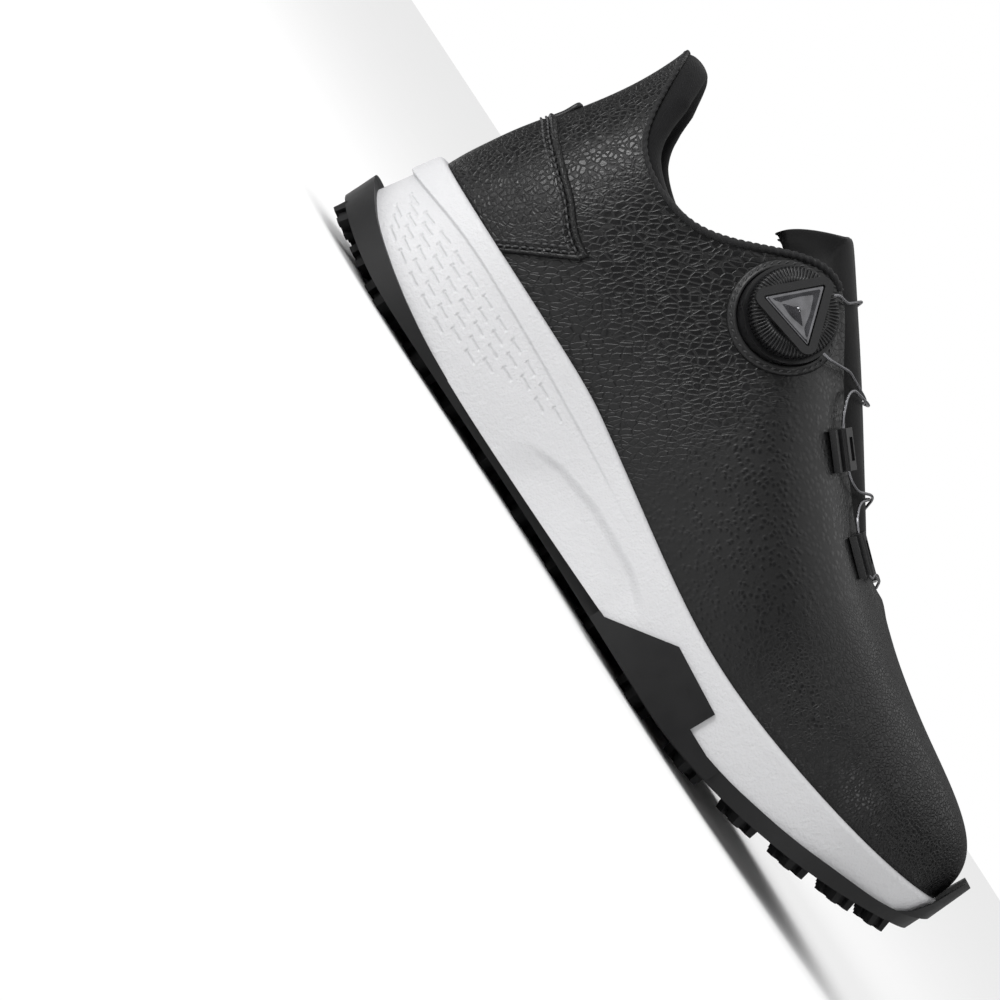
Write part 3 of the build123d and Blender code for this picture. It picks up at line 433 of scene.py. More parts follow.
class Finish:
    """Small helper that builds a material's nodes."""

    def __init__(self, name, colour, roughness, **sockets):
        self.material = bpy.data.materials.get(name) or bpy.data.materials.new(name)
        self.material.use_nodes = True
        self.nodes = self.material.node_tree.nodes
        self.links = self.material.node_tree.links
        # A finish that is made again starts from the plain shader, so that no node is left over.
        for node in [n for n in self.nodes if n.type not in ("BSDF_PRINCIPLED", "OUTPUT_MATERIAL")]:
            self.nodes.remove(node)
        self.shader = next(n for n in self.nodes if n.type == "BSDF_PRINCIPLED")
        self.shader.inputs["Base Color"].default_value = (*colour, 1.0)
        self.shader.inputs["Roughness"].default_value = roughness
        for socket, value in sockets.items():
            self.shader.inputs[socket.replace("_", " ")].default_value = value
        self.height = None
        self.place = self.nodes.new("ShaderNodeTexCoord").outputs["Object"]

    def node(self, kind, inputs=None, **settings):
        made = self.nodes.new(kind)
        for key, value in settings.items():
            setattr(made, key, value)
        for key, value in (inputs or {}).items():
            if isinstance(value, bpy.types.NodeSocket):
                self.links.new(value, made.inputs[key])
            else:
                made.inputs[key].default_value = value
        return made

    def stretch(self, scale):
        made = self.node("ShaderNodeMapping", {"Vector": self.place})
        made.inputs["Scale"].default_value = scale
        return made.outputs[0]

    def noise(self, size_mm, detail=3.0, place=None, roughness=0.55):
        made = self.node("ShaderNodeTexNoise", {"Vector": place or self.place})
        made.inputs["Scale"].default_value = 1000.0 / size_mm
        made.inputs["Detail"].default_value = detail
        made.inputs["Roughness"].default_value = roughness
        return made.outputs["Fac"]

    def cells(self, size_mm, feature="F1", place=None, randomness=1.0):
        made = self.node("ShaderNodeTexVoronoi", {"Vector": place or self.place}, feature=feature)
        made.inputs["Scale"].default_value = 1000.0 / size_mm
        made.inputs["Randomness"].default_value = randomness
        return made.outputs["Distance"]

    def ramp(self, value, low, high, from_value=0.0, to_value=1.0):
        made = self.node("ShaderNodeMapRange", {"Value": value}, interpolation_type="SMOOTHSTEP")
        keys = ("From Min", "From Max", "To Min", "To Max")
        for key, number in zip(keys, (low, high, from_value, to_value)):
            made.inputs[key].default_value = number
        return made.outputs[0]

    def mix(self, share, a, b):
        """Blend of two numbers."""
        made = self.node("ShaderNodeMix", {"Factor": share}, data_type="FLOAT")
        for key, value in ((2, a), (3, b)):
            if isinstance(value, bpy.types.NodeSocket):
                self.links.new(value, made.inputs[key])
            else:
                made.inputs[key].default_value = value
        return made.outputs[0]

    def tint(self, share, a, b):
        """Varies the base colour between two colours."""
        made = self.node("ShaderNodeMix", {"Factor": share}, data_type="RGBA")
        made.inputs[6].default_value = (*a, 1.0)
        made.inputs[7].default_value = (*b, 1.0)
        self.links.new(made.outputs[2], self.shader.inputs["Base Color"])
        return made

    def vary_roughness(self, share, low, high):
        self.links.new(self.ramp(share, 0.0, 1.0, low, high), self.shader.inputs["Roughness"])

    def relief(self, height, depth_mm, strength=1.0):
        """Bumps the surface; each call adds to the ones before."""
        made = self.node("ShaderNodeBump", {"Height": height})
        made.inputs["Distance"].default_value = depth_mm * MM
        made.inputs["Strength"].default_value = strength
        if self.height is not None:
            self.links.new(self.height, made.inputs["Normal"])
        self.height = made.outputs[0]
        self.links.new(self.height, self.shader.inputs["Normal"])


def along_shoe(finish, low, high):
    """0 before one place along the shoe and 1 after another, in millimetres."""
    split = finish.node("ShaderNodeSeparateXYZ", {"Vector": finish.place})
    return finish.ramp(split.outputs["X"], low * MM, high * MM)


def leather_finish(settings):
    """Coated leather: large pebbles at the heel, oval ones at the quarter, fine grain at the toe."""
    f = Finish("grained_leather", settings.leather_colour, 0.42, Specular_IOR_Level=0.33)
    size = settings.grain_size * 1000.0
    warp = f.node("ShaderNodeTexNoise", {"Vector": f.place})
    warp.inputs["Scale"].default_value = 120.0
    shift = f.node("ShaderNodeVectorMath", {0: warp.outputs["Color"], 1: GRAIN_WARP}, operation="MULTIPLY")
    bent = f.node("ShaderNodeVectorMath", {0: f.place, 1: shift.outputs[0]}, operation="ADD").outputs[0]
    heel = f.ramp(f.cells(size * 1.15, "DISTANCE_TO_EDGE", bent), 0.01, 0.2)
    toe = f.ramp(f.cells(size * 0.75, "DISTANCE_TO_EDGE", bent), 0.0, 0.24)
    dots = f.ramp(f.cells(size * 1.15, "F1", bent, 0.8), 0.1, 0.6, 1.0, 0.35)
    slant = f.node("ShaderNodeMapping", {"Vector": bent}, vector_type="TEXTURE")
    slant.inputs["Rotation"].default_value = (0.0, WRINKLE_SLANT, 0.0)
    slant.inputs["Scale"].default_value = (1.0, 1.6, 2.0)
    wrinkles = f.ramp(f.cells(size * 1.0, "DISTANCE_TO_EDGE", slant.outputs[0]), 0.0, 0.15, 0.2, 0.95)
    rear = f.mix(along_shoe(f, -118.0, -92.0), heel, wrinkles)
    grain = f.mix(along_shoe(f, 30.0, 85.0), f.mix(along_shoe(f, -45.0, 0.0), rear, dots), toe)
    f.relief(f.noise(9.0, 2.0), 0.7, 0.35)
    f.relief(grain, 0.22, 0.75)
    f.relief(f.noise(0.6, 3.0), 0.05, 0.5)
    f.vary_roughness(grain, 0.55, 0.31)
    # The creases between pebbles and the rims of the quarter's dots get a darker base colour than the pebble
    # tops: painted shade in the creases.
    painted_crease_shade = tuple(c * 0.35 for c in settings.leather_colour)
    f.tint(grain, painted_crease_shade, settings.leather_colour)
    return f.material


def smooth_leather_finish(settings):
    f = Finish("smooth_leather", settings.leather_colour, 0.4, Specular_IOR_Level=0.33)
    f.relief(f.noise(1.1, 4.0), 0.08, 0.6)
    f.relief(f.noise(7.0, 2.0), 0.3, 0.3)
    f.vary_roughness(f.noise(5.0), 0.36, 0.5)
    return f.material


def microfibre_finish(settings):
    f = Finish("tongue_microfibre", settings.leather_colour, 0.55, Specular_IOR_Level=0.28, Sheen_Weight=0.05)
    f.relief(f.cells(0.9, "DISTANCE_TO_EDGE"), 0.1, 0.5)
    f.relief(f.noise(0.5, 3.0), 0.06, 0.5)
    f.vary_roughness(f.noise(6.0), 0.48, 0.62)
    return f.material


def knit_finish(settings):
    """Brushed knit lining with fine ribs."""
    f = Finish("collar_knit", settings.lining_colour, 0.85, Specular_IOR_Level=0.15, Sheen_Weight=0.06)
    ribs = f.node("ShaderNodeTexWave", {"Vector": f.stretch((1.0, 1.0, 0.06))}, wave_type="BANDS",
                  bands_direction="DIAGONAL")
    ribs.inputs["Scale"].default_value = 620.0
    ribs.inputs["Distortion"].default_value = 1.2
    f.relief(ribs.outputs["Fac"], 0.1, 0.7)
    f.relief(f.noise(0.8, 4.0), 0.15, 0.7)
    f.tint(f.noise(3.0), tuple(c * 0.6 for c in settings.lining_colour), settings.lining_colour)
    return f.material


def binding_finish(settings):
    f = Finish("braided_binding", settings.lining_colour, 0.7, Specular_IOR_Level=0.25, Sheen_Weight=0.04)
    f.relief(f.noise(0.5, 4.0), 0.12, 0.8)
    f.vary_roughness(f.noise(2.0), 0.6, 0.8)
    return f.material


def rubber_finish(settings):
    f = Finish("sole_rubber", settings.rubber_colour, 0.5, Specular_IOR_Level=0.3)
    f.relief(f.noise(0.7, 3.0), 0.05, 0.5)
    f.relief(f.noise(14.0, 2.0), 0.25, 0.25)
    f.vary_roughness(f.noise(8.0, 4.0), 0.42, 0.6)
    f.tint(f.noise(20.0), tuple(c * 0.75 for c in settings.rubber_colour), settings.rubber_colour)
    return f.material


def foam_finish(settings):
    """Moulded foam with the fine stipple of its mould."""
    f = Finish("moulded_foam", settings.foam_colour, 0.55, Specular_IOR_Level=0.4, Subsurface_Weight=0.06,
               Subsurface_Radius=(0.004, 0.004, 0.004))
    f.relief(f.cells(0.8, "F1"), 0.1, 0.8)
    f.relief(f.noise(1.5, 2.0), 0.3, 0.85)
    f.vary_roughness(f.noise(6.0), 0.5, 0.64)
    f.tint(f.noise(16.0), tuple(c * 0.955 for c in settings.foam_colour), settings.foam_colour)
    return f.material


def plastic_finish(name, colour, roughness, grain=0.03):
    f = Finish(name, colour, roughness, Specular_IOR_Level=0.35)
    f.relief(f.noise(0.45, 3.0), grain, 0.5)
    f.vary_roughness(f.noise(4.0), max(roughness - 0.06, 0.02), roughness + 0.07)
    return f.material


def gloss_finish():
    """Dark polished insert with a faint uneven film."""
    f = Finish("polished_insert", (0.02, 0.02, 0.022), 0.08, Metallic=0.55, Coat_Weight=1.0)
    f.relief(f.noise(4.0, 1.0), 0.05, 0.25)
    f.vary_roughness(f.noise(3.0), 0.05, 0.13)
    f.tint(f.noise(4.0, 1.0), (0.008, 0.008, 0.009), (0.11, 0.11, 0.12))
    return f.material


def steel_finish():
    f = Finish("braided_steel", (0.2, 0.2, 0.21), 0.34, Metallic=1.0)
    strands = f.node("ShaderNodeTexWave", {"Vector": f.place}, wave_type="BANDS", bands_direction="DIAGONAL")
    strands.inputs["Scale"].default_value = 900.0
    f.relief(strands.outputs["Fac"], 0.08, 0.8)
    f.vary_roughness(f.noise(3.0), 0.25, 0.45)
    return f.material


def thread_finish(settings):
    f = Finish("waxed_thread", settings.thread_colour, 0.55, Specular_IOR_Level=0.5)
    strands = f.node("ShaderNodeTexWave", {"Vector": f.place}, wave_type="BANDS", bands_direction="DIAGONAL")
    strands.inputs["Scale"].default_value = 700.0
    f.relief(strands.outputs["Fac"], 0.06, 0.7)
    f.vary_roughness(f.noise(1.0), 0.45, 0.65)
    return f.material


def footbed_finish(settings):
    f = Finish("footbed_cloth", settings.lining_colour, 0.8, Specular_IOR_Level=0.25, Sheen_Weight=0.2)
    f.relief(f.cells(1.4, "F1", randomness=0.3), 0.15, 0.7)
    f.relief(f.noise(0.6, 3.0), 0.1, 0.5)
    f.vary_roughness(f.noise(9.0), 0.72, 0.9)
    return f.material


# Upper

OVERLAY_TOP = [(-160.0, 83.0), (-134.0, 82.6), (-128.0, 80.0), (-88.0, 67.6)]
TAB_HEIGHTS = (80.0, 92.0)
TAB_REACH = 0.42
OVERLAY_FRONT = [(-106.0, 43.0), (-88.6, 64.0), (-88.0, 67.6)]


def build_skin(material):
    """Outer leather all round the shoe, with a turned edge at the opening and a hole under the dial."""
    columns, rows, inner_rows = 640, 104, 14
    t = (np.arange(columns) * 2.0 * HALF / columns)[:, None]
    v = (1.0 - (1.0 - np.linspace(0.0, 1.0, rows)) ** 1.1)[None, :]
    points, normals = skin_point(t, v), skin_normal(t, v)
    lump = 0.16 * wave(points, 26.0, 3) * ease(v, 0.02, 0.1) * (1.0 - ease(v, 0.9, 0.97))
    edge_fold = 0.22 * bump(v, 0.985, 0.03) * ease(folded(t), 7.6, 8.3)
    outer = points + normals * (lump + edge_fold)[..., None]
    skirt = outer[:, :1] - np.array([0.0, 0.0, 2.0])
    angle = np.linspace(0.0, np.pi, 7)[None, 1:-1, None]
    last_n, last_p = normals[:, -1:], outer[:, -1:]
    rise = unit(points[:, -1:] - points[:, -3:-2])
    middle = last_p - last_n * SKIN / 2
    roll = middle + (last_n * np.cos(angle) + rise * np.sin(angle) * 0.6) * SKIN / 2
    v_in = np.linspace(1.0, 0.0, inner_rows)[None, :]
    inner = skin_point(t, v_in) - skin_normal(t, v_in) * SKIN
    closing = inner[:, -1:] - np.array([0.0, 0.0, 2.0])
    points = np.concatenate([skirt, outer, roll, inner, closing], 1)
    n, m = points.shape[:2]
    local = in_dial(points)
    in_hole = (np.hypot(local[..., 0], local[..., 1]) < DIAL_HOLE) & (local[..., 2] > -DIAL_HOLE_DEPTH)
    in_hole = in_hole.reshape(-1)
    faces = [f for f in grid_faces(n, m, True, True) if not all(in_hole[i] for i in f)]
    used = np.zeros(n * m, bool)
    used[np.unique(np.array(faces))] = True
    number = np.cumsum(used) - 1
    faces = [[int(number[i]) for i in f] for f in faces]
    return add_object("upper_skin", points.reshape(-1, 3)[used], faces, material)


def place_on_skin(targets):
    """Stations and heights on the lateral heel whose side view is nearest to (x, z) targets."""
    t = np.linspace(0.0, 6.0, 900)[:, None]
    v = np.linspace(0.0, 0.9, 500)[None, :]
    points = skin_point(t, v).reshape(-1, 3)
    found = []
    for x, z in targets:
        i = int(np.argmin((points[:, 0] - x) ** 2 + (points[:, 2] - z) ** 2))
        found.append((t[i // 500, 0], v[0, i % 500], points[i, 2]))
    return np.array(found)


def along_line(points, share):
    """Point at a share of a polyline's length."""
    points = np.array(points, float)
    run = np.concatenate([[0.0], np.cumsum(np.linalg.norm(np.diff(points, axis=0), axis=1))])
    return np.stack([np.interp(share * run[-1], run, points[:, k]) for k in range(2)], -1)


def overlay_grid(shares_along, shares_up, side):
    """Stations and v on the skin over the heel panel, from the back seam to its front edge."""
    front = place_on_skin(along_line(OVERLAY_FRONT, shares_up))
    top = np.array(OVERLAY_TOP)
    t = shares_along[:, None] * front[None, :, 0]
    v_line = np.linspace(0.0, 0.95, 300)
    v = np.zeros_like(t)
    for i in range(len(shares_along)):
        for j in range(len(shares_up)):
            line = skin_point(t[i, j], v_line)
            high = np.interp(line[:, 0], top[:, 0], top[:, 1])
            over = line[:, 2] - (line[0, 2] + (high - line[0, 2]) * shares_up[j])
            v[i, j] = np.interp(0.0, over, v_line)
    blend = ease(shares_along, 0.75, 1.0)[:, None]
    v = v * (1.0 - blend) + front[None, :, 1] * blend
    # The medial side counts stations down from the back seam, so that a path crosses the seam without a jump.
    return (t if side < 0 else -t), v


def build_overlay(material):
    """Heel panel with a raised lip on its free edges, wrapped round the back of the heel."""
    along = np.concatenate([np.linspace(0.0, 0.9, 46), np.linspace(0.905, 1.0, 22)])
    up = np.concatenate([np.linspace(0.0, 0.86, 30), np.linspace(0.87, 1.0, 22)])
    grids = []
    for side in (-1, 1):
        t, v = overlay_grid(along, up, side)
        grids.append((t, v))
    t = np.concatenate([grids[0][0][::-1], grids[1][0][1:]], 0)
    v = np.concatenate([grids[0][1][::-1], grids[1][1][1:]], 0)
    points, normals = skin_point(t, v), skin_normal(t, v)
    from_top = np.linalg.norm(points - points[:, -1:], axis=-1)
    from_lateral = np.linalg.norm(points - points[:1], axis=-1)
    from_medial = np.linalg.norm(points - points[-1:], axis=-1)
    near = np.minimum(from_top, np.minimum(from_lateral, from_medial))
    lip, channel = 0.75 * bump(near, 1.3, 1.4), 0.35 * bump(near, 3.3, 1.3)
    height = (OVERLAY - 0.25) * rounded(near / 1.1) + lip - channel
    height += 0.1 * wave(points, 18.0, 8)
    outer = points + normals * height[..., None]
    under = points - normals * 0.5
    return closed_sheet("heel_panel", outer, under, material), (t, v)


def build_tab(material):
    """Short folded tab that stands on the back of the heel above its panel."""
    across, rise = np.linspace(-1.0, 1.0, 25), np.linspace(0.0, 1.0, 25)
    v_line = np.linspace(0.0, 0.95, 400)
    low, high = np.interp(TAB_HEIGHTS, skin_point(0.0, v_line)[:, 2], v_line)
    rounding = rounded((1.0 - rise) / 0.3) * 0.3 + 0.7
    t = across[:, None] * TAB_REACH * rounding[None, :]
    v = low + (high - low) * rise[None, :] + 0.0 * t
    points, normals = skin_point(t, v), skin_normal(t, v)
    edge = np.minimum(1.0 - np.abs(across)[:, None], 1.0 - rise[None, :])
    height = rounded(edge / 0.12) + 0.9 * ease(rise, 0.4, 1.0)[None, :]
    outer, under = points + normals * height[..., None], points - normals * 0.4
    return closed_sheet("heel_tab", outer, under, material)


def inset_row(t, v, inset, count=260, lift=OVERLAY):
    """Path at an inset from a panel's free edges, from its lateral foot over the back to its medial foot."""
    points = skin_point(t, v)
    n, m = t.shape
    from_top = np.linalg.norm(points - points[:, -1:], axis=-1)
    from_first = np.linalg.norm(points - points[:1], axis=-1)
    from_last = np.linalg.norm(points - points[-1:], axis=-1)
    path_t, path_v = [], []

    def put(i, j):
        i0, j0 = int(min(i, n - 2)), int(min(j, m - 2))
        a, b = i - i0, j - j0
        for out, grid in ((path_t, t), (path_v, v)):
            low = grid[i0, j0] * (1 - a) + grid[i0 + 1, j0] * a
            high = grid[i0, j0 + 1] * (1 - a) + grid[i0 + 1, j0 + 1] * a
            out.append(low * (1 - b) + high * b)

    stop = [float(np.interp(inset, from_top[i, ::-1], np.arange(m)[::-1])) for i in range(n)]
    j_front = stop[0]
    for j in np.linspace(1.0, j_front, 60):
        put(float(np.interp(inset, from_first[:, int(j)], np.arange(n))), j)
    first = float(np.interp(inset, from_first[:, int(j_front)], np.arange(n)))
    last = float(np.interp(inset, from_last[::-1, int(stop[-1])], np.arange(n)[::-1]))
    for i in np.linspace(first, last, count):
        put(i, float(np.interp(i, np.arange(n), stop)))
    for j in np.linspace(stop[-1], 1.0, 60):
        put(float(np.interp(inset, from_last[::-1, int(j)], np.arange(n)[::-1])), j)
    path_t, path_v = np.array(path_t), np.array(path_v)
    normals = skin_normal(path_t, path_v)
    return skin_point(path_t, path_v) + normals * lift, normals


# Height of the padded roll over the topline, by station
ROLL_HEIGHT = [
    (0.0, 2.6), (0.6, 3.6), (1.2, 6.5), (2.0, 10.5), (2.6, 9.5), (3.2, 6.0), (4.0, 3.0), (6.0, 2.4),
    (7.5, 1.6), (8.2, 0.4), (14.0, 0.3),
]


def build_lining(material):
    """Lining with a padded roll over the collar, all round the shoe."""
    columns = 520
    t = (HALF + np.arange(columns) * 2.0 * HALF / columns)[:, None]
    collar = 1.0 - ease(folded(t), 6.4, 8.4)
    v_in = np.linspace(0.0, 0.975, 60)[None, :]
    depth = SKIN + core_depth(t, v_in) + 2.0 * LAYER_GAP + LINING
    depth = depth + 0.35 * collar * wave(skin_point(t, v_in), 30.0, 5) * ease(v_in, 0.2, 0.4)
    inner = skin_point(t, v_in) - skin_normal(t, v_in) * depth[..., None]
    top_p, top_n = skin_point(t, np.array([[0.985]])), skin_normal(t, np.array([[0.985]]))
    rise = unit(top_p - skin_point(t, np.array([[0.93]])))
    full = (SKIN + core_depth(t, np.array([[0.985]])) + 2.0 * LAYER_GAP + LINING)[..., None]
    near = SKIN * 0.75
    angle = np.linspace(np.pi, 0.0, 16)[None, 1:-1, None]
    middle, reach = (full + near) / 2, (full - near) / 2
    lift = np.interp(folded(t), *np.array(ROLL_HEIGHT).T)[..., None]
    crest = top_p - top_n * (middle - reach * np.cos(angle)) + rise * (lift * np.sin(angle) ** 0.8 - 0.3)
    v_back = np.linspace(0.965, 0.0, 14)[None, :]
    back = skin_point(t, v_back) - skin_normal(t, v_back) * (SKIN + 0.12)
    # The roll runs from the inner face outwards, so its angle falls from half a turn to none.
    points = np.concatenate([inner, crest, back], 1)
    return grid_piece("collar_lining", points, material, close_u=True, close_v=True, flip=True)


def topline(t, lift=0.0, out=0.0):
    """Points on the opening's edge with their outward normals."""
    one = np.full_like(t, 0.985)
    p, n = skin_point(t, one), skin_normal(t, one)
    rise = unit(p - skin_point(t, one - 0.05))
    return p + n * out + rise * lift, n


def build_piping(material):
    """Twisted piping along the topline from one end of the throat round the heel to the other."""
    t = np.linspace(-8.05, 8.05, 1800)
    path, normals = topline(t, 0.6, -0.35)

    def twist(angle, distance):
        return 1.0 + 0.14 * np.cos(2.0 * angle - distance * 2.0 * np.pi / PIPING_TWIST)

    radius = 0.45 + 0.35 * ease(folded(t), 0.0, 1.0) + 0.6 * ease(folded(t), 2.5, 6.0)
    return tube("topline_piping", path, normals, radius, material, 12, twist=twist)


def build_tongue(material):
    """Padded tongue with rounded top corners, edge bands and a soft rounded rim."""
    rows, columns = 130, 61
    s = np.linspace(0.0, RIDGE_END, rows)[:, None]
    share = np.linspace(-1.0, 1.0, columns)[None, :]
    half = np.radians(70.0 - 26.0 * ease(s, 1.0, RIDGE_END))
    corner = 1.0 - 0.08 * (1.0 - rounded(s / 0.55))
    angle = share * half * corner
    rim = rounded(s / 0.85) * rounded((1.0 - np.abs(share)) / 0.06)
    full = tongue_bulge(s, angle)
    seam = 0.35 * bump(np.abs(angle), np.radians(21.0), np.radians(2.4))
    seam = seam * ease(s, 0.25, 0.5) * (1.0 - ease(s, 4.0, 5.0))
    top_seam = 0.3 * bump(s, 0.42, 0.07) * (1.0 - ease(np.abs(share), 0.8, 0.95))
    puff = 0.25 * wave(tongue_point(s, angle, 0.0), 22.0, 11)
    outer_depth = full * 0.5 * (1.0 - rim) + seam + top_seam - 0.2 * puff * rim
    inner_depth = full - full * 0.48 * (1.0 - rim)
    outer, inner = tongue_point(s, angle, outer_depth), tongue_point(s, angle, inner_depth)
    wrap = ease(np.abs(angle), np.radians(12.0), np.radians(66.0)) * (1.0 - ease(s, 0.0, 2.4))
    for sheet in (outer, inner):
        sheet[..., 0] -= TONGUE_WRAP_BACK * wrap
        sheet[..., 1] *= 1.0 - TONGUE_WRAP_IN * wrap
        sheet[..., 2] -= TONGUE_WRAP_DOWN * wrap
    return closed_sheet("tongue_pad", outer, inner, material)


def build_footbed(material):
    """Sockliner: a crowned insole with a shallow heel cup and a plain cloth top."""
    columns, rings = 220, 26
    t = (np.arange(columns) * 2.0 * HALF / columns)[:, None]
    inset = SKIN + CORE + LINING + 3 * LAYER_GAP + 4.0
    foot, _, _, _, out, _ = rib(t[:, 0])
    edge = foot - out * inset
    spine_x = np.clip(edge[:, 0], -112.0, 112.0)
    spine_y = np.interp(spine_x, [-112.0, -60.0, 0.0, 60.0, 112.0], [0.5, -1.0, -4.5, 0.0, 2.5])
    share = np.linspace(0.0, 1.0, rings)[None, :, None]
    centre = np.stack([spine_x, spine_y, 0 * spine_x], -1)[:, None]
    flat = edge[:, None] * (1.0 - share) + centre * share
    base = feather_z(flat[..., 0]) + 0.2 + STROBEL
    rise = np.linspace(0.0, 1.0, rings)[None, :]
    cup = 1.6 * (1.0 - ease(rise, 0.0, 0.35)) * (1.0 - ease(flat[..., 0], -60.0, 10.0))
    crown = SOCKLINER - 1.2 + 0.8 * ease(rise, 0.0, 0.8) - 1.2 * (1.0 - ease(rise, 0.0, 0.06)) + cup
    top = np.concatenate([flat[..., :2], (base + crown)[..., None]], -1)
    under = np.concatenate([flat[..., :2], (base + 0.05)[..., None]], -1)
    points = np.concatenate([under[:, ::-1], top], 1)
    return grid_piece("footbed", points, material, close_u=True)


# Midsole

LEDGE_LINE = [
    (-160.0, 32.0), (-145.0, 33.0), (-120.0, 36.4), (-95.0, 36.9), (-70.0, 35.9), (-45.0, 34.2),
    (-20.0, 32.2), (5.0, 29.8), (30.0, 28.4), (60.0, 27.4), (90.0, 26.8), (125.0, 26.4), (160.0, 26.0),
]
LEDGE_HEIGHT = [(-152.0, 2.4), (-142.0, 1.9), (-125.0, 1.1), (-60.0, 0.8), (-35.0, 0.6), (-5.0, 0.0)]
DASH_LOW = [(-142.0, 19.0), (-118.0, 15.6), (-92.0, 13.8), (-60.0, 13.0)]
DASH_HIGH = [(-142.0, 28.4), (-118.0, 31.4), (-70.0, 31.6), (-46.0, 30.4)]
FACET_LINE = [(-48.5, 19.0), (-35.0, 23.6), (-18.0, 25.8), (5.0, 24.7), (20.0, 20.0)]


def dash_depth(x, z):
    """How deep the moulded dashes are cut into the foam's side, by place in the side view."""
    depth = np.zeros_like(x)
    low, high = np.interp(x, *np.array(DASH_LOW).T), np.interp(x, *np.array(DASH_HIGH).T)
    for row in range(DASH_ROWS):
        part = row / (DASH_ROWS - 1)
        level = low + (high - low) * part
        off = z - level
        phase = (x + 142.0 - row * 1.3 - (DASH_PITCH / 2 if row % 2 else 0.0)) % DASH_PITCH
        start = x - phase
        within = (start > -140.0) & (start < -92.0 + 44.0 * part)
        dash = ease(phase, 0.0, 0.6) * (1.0 - ease(phase, 5.2, 5.9))
        groove = 1.0 - ease(np.abs(off), 0.22, 0.62)
        hook = (1.0 - ease(np.abs(phase - 0.5), 0.2, 0.5)) * (1.0 - ease(np.abs(off - 0.45), 0.3, 0.7))
        depth = np.maximum(depth, within * np.maximum(dash * groove, 0.8 * hook))
    return depth


def build_midsole(material):
    """Foam midsole: rounded top ledge, dashes, a step line and a scooped facet on its sides."""
    heel = np.linspace(0.0, 6.4, 520, endpoint=False)
    front = np.linspace(6.4, HALF, 260, endpoint=False)
    lateral = np.concatenate([heel, front])
    t = np.concatenate([lateral, 2 * HALF - lateral[::-1]])
    t = np.unique(np.round(t % (2 * HALF), 6))
    foot, _, _, _, out, row = rib(t)
    rows = 130
    share = np.linspace(0.0, 1.0, rows)[None, :]
    high = feather_z(foot[:, 0])[:, None]
    low = rim_z(foot[:, 0])[:, None] - 0.15
    z = high + (low - high) * share
    reach = MIDSOLE_LEDGE + row[:, 9:10] * (high - z)
    base = foot[:, None, :2] + out[:, None, :2] * reach[..., None]
    x = base[..., 0]
    side = ease(np.abs(base[..., 1]), 8.0, 16.0)
    top_round = 1.0 - rounded((high - z) / 1.8)
    ledge = height_over(LEDGE_LINE)(x)
    step = np.interp(x, *np.array(LEDGE_HEIGHT).T) * ease(z, ledge - 0.5, ledge + 0.5)
    facet = np.interp(x, *np.array(FACET_LINE).T)
    inside = ease(x, -52.0, -36.0) * (1.0 - ease(x, 8.0, 22.0))
    scoop = 1.5 * inside * (1.0 - ease(z, facet - 3.4, facet + 0.5)) * ease(z, facet - 19.0, facet - 6.0)
    push = -1.8 * top_round + step - scoop * side - DASH_DEPTH * dash_depth(x, z) * side
    push += 0.05 * wave(np.concatenate([base, z[..., None]], -1), 9.0, 21)
    wall = np.concatenate([base + out[:, None, :2] * push[..., None], z[..., None]], -1)
    spine = np.stack([np.clip(foot[:, 0], -118.0, 124.0), 0 * foot[:, 0]], -1)

    def cap(edge, height, steps):
        share = np.linspace(0.0, 1.0, steps)[None, 1:, None]
        flat = edge[:, None, :2] * (1.0 - share) + spine[:, None] * share
        return np.concatenate([flat, height(flat[..., 0])[..., None]], -1)

    lid = cap(wall[:, 0], feather_z, 7)
    floor = cap(wall[:, -1], lambda x: rim_z(x) - 0.3, 7)
    points = np.concatenate([lid[:, ::-1], wall, floor], 1)
    return grid_piece("midsole_foam", points, material, close_u=True, flip=True)


# Dial

def build_knob(material):
    """Turning ring of the dial: fine ribs on its rim and on its sloping top."""
    low = 4.9
    profile = [
        (13.7, low), (14.7, low), (15.1, low + 0.4), (15.2, 6.0), (15.2, 7.6), (15.1, 8.6), (14.7, 9.3),
        (14.1, 9.7),
        (13.4, 9.95), (12.7, 10.2), (12.0, 10.42), (11.4, 10.58), (10.8, 10.6), (8.2, 10.6), (8.2, 9.3),
        (12.6, 8.4), (13.7, 7.4),
    ]
    depth = np.array([0, 0.1, 0.4, 0.6, 0.6, 0.6, 0.6, 0.6, 0.6, 0.6, 0.55, 0.45, 0.3, 0, 0, 0, 0])
    slope = np.array([0, 0, 0, 0, 0, 0.1, 0.6, 0.8, 0.9, 0.9, 0.9, 0.8, 0, 0, 0, 0, 0])

    def swell(angle, index):
        groove = 0.5 - 0.5 * np.cos(angle * KNOB_RIBS)
        cut = groove**1.5 * depth[index]
        return -cut * (1.0 - 0.75 * slope[index]), -cut * slope[index]

    return lathe("knob_ring", profile, material, KNOB_STEPS, swell)


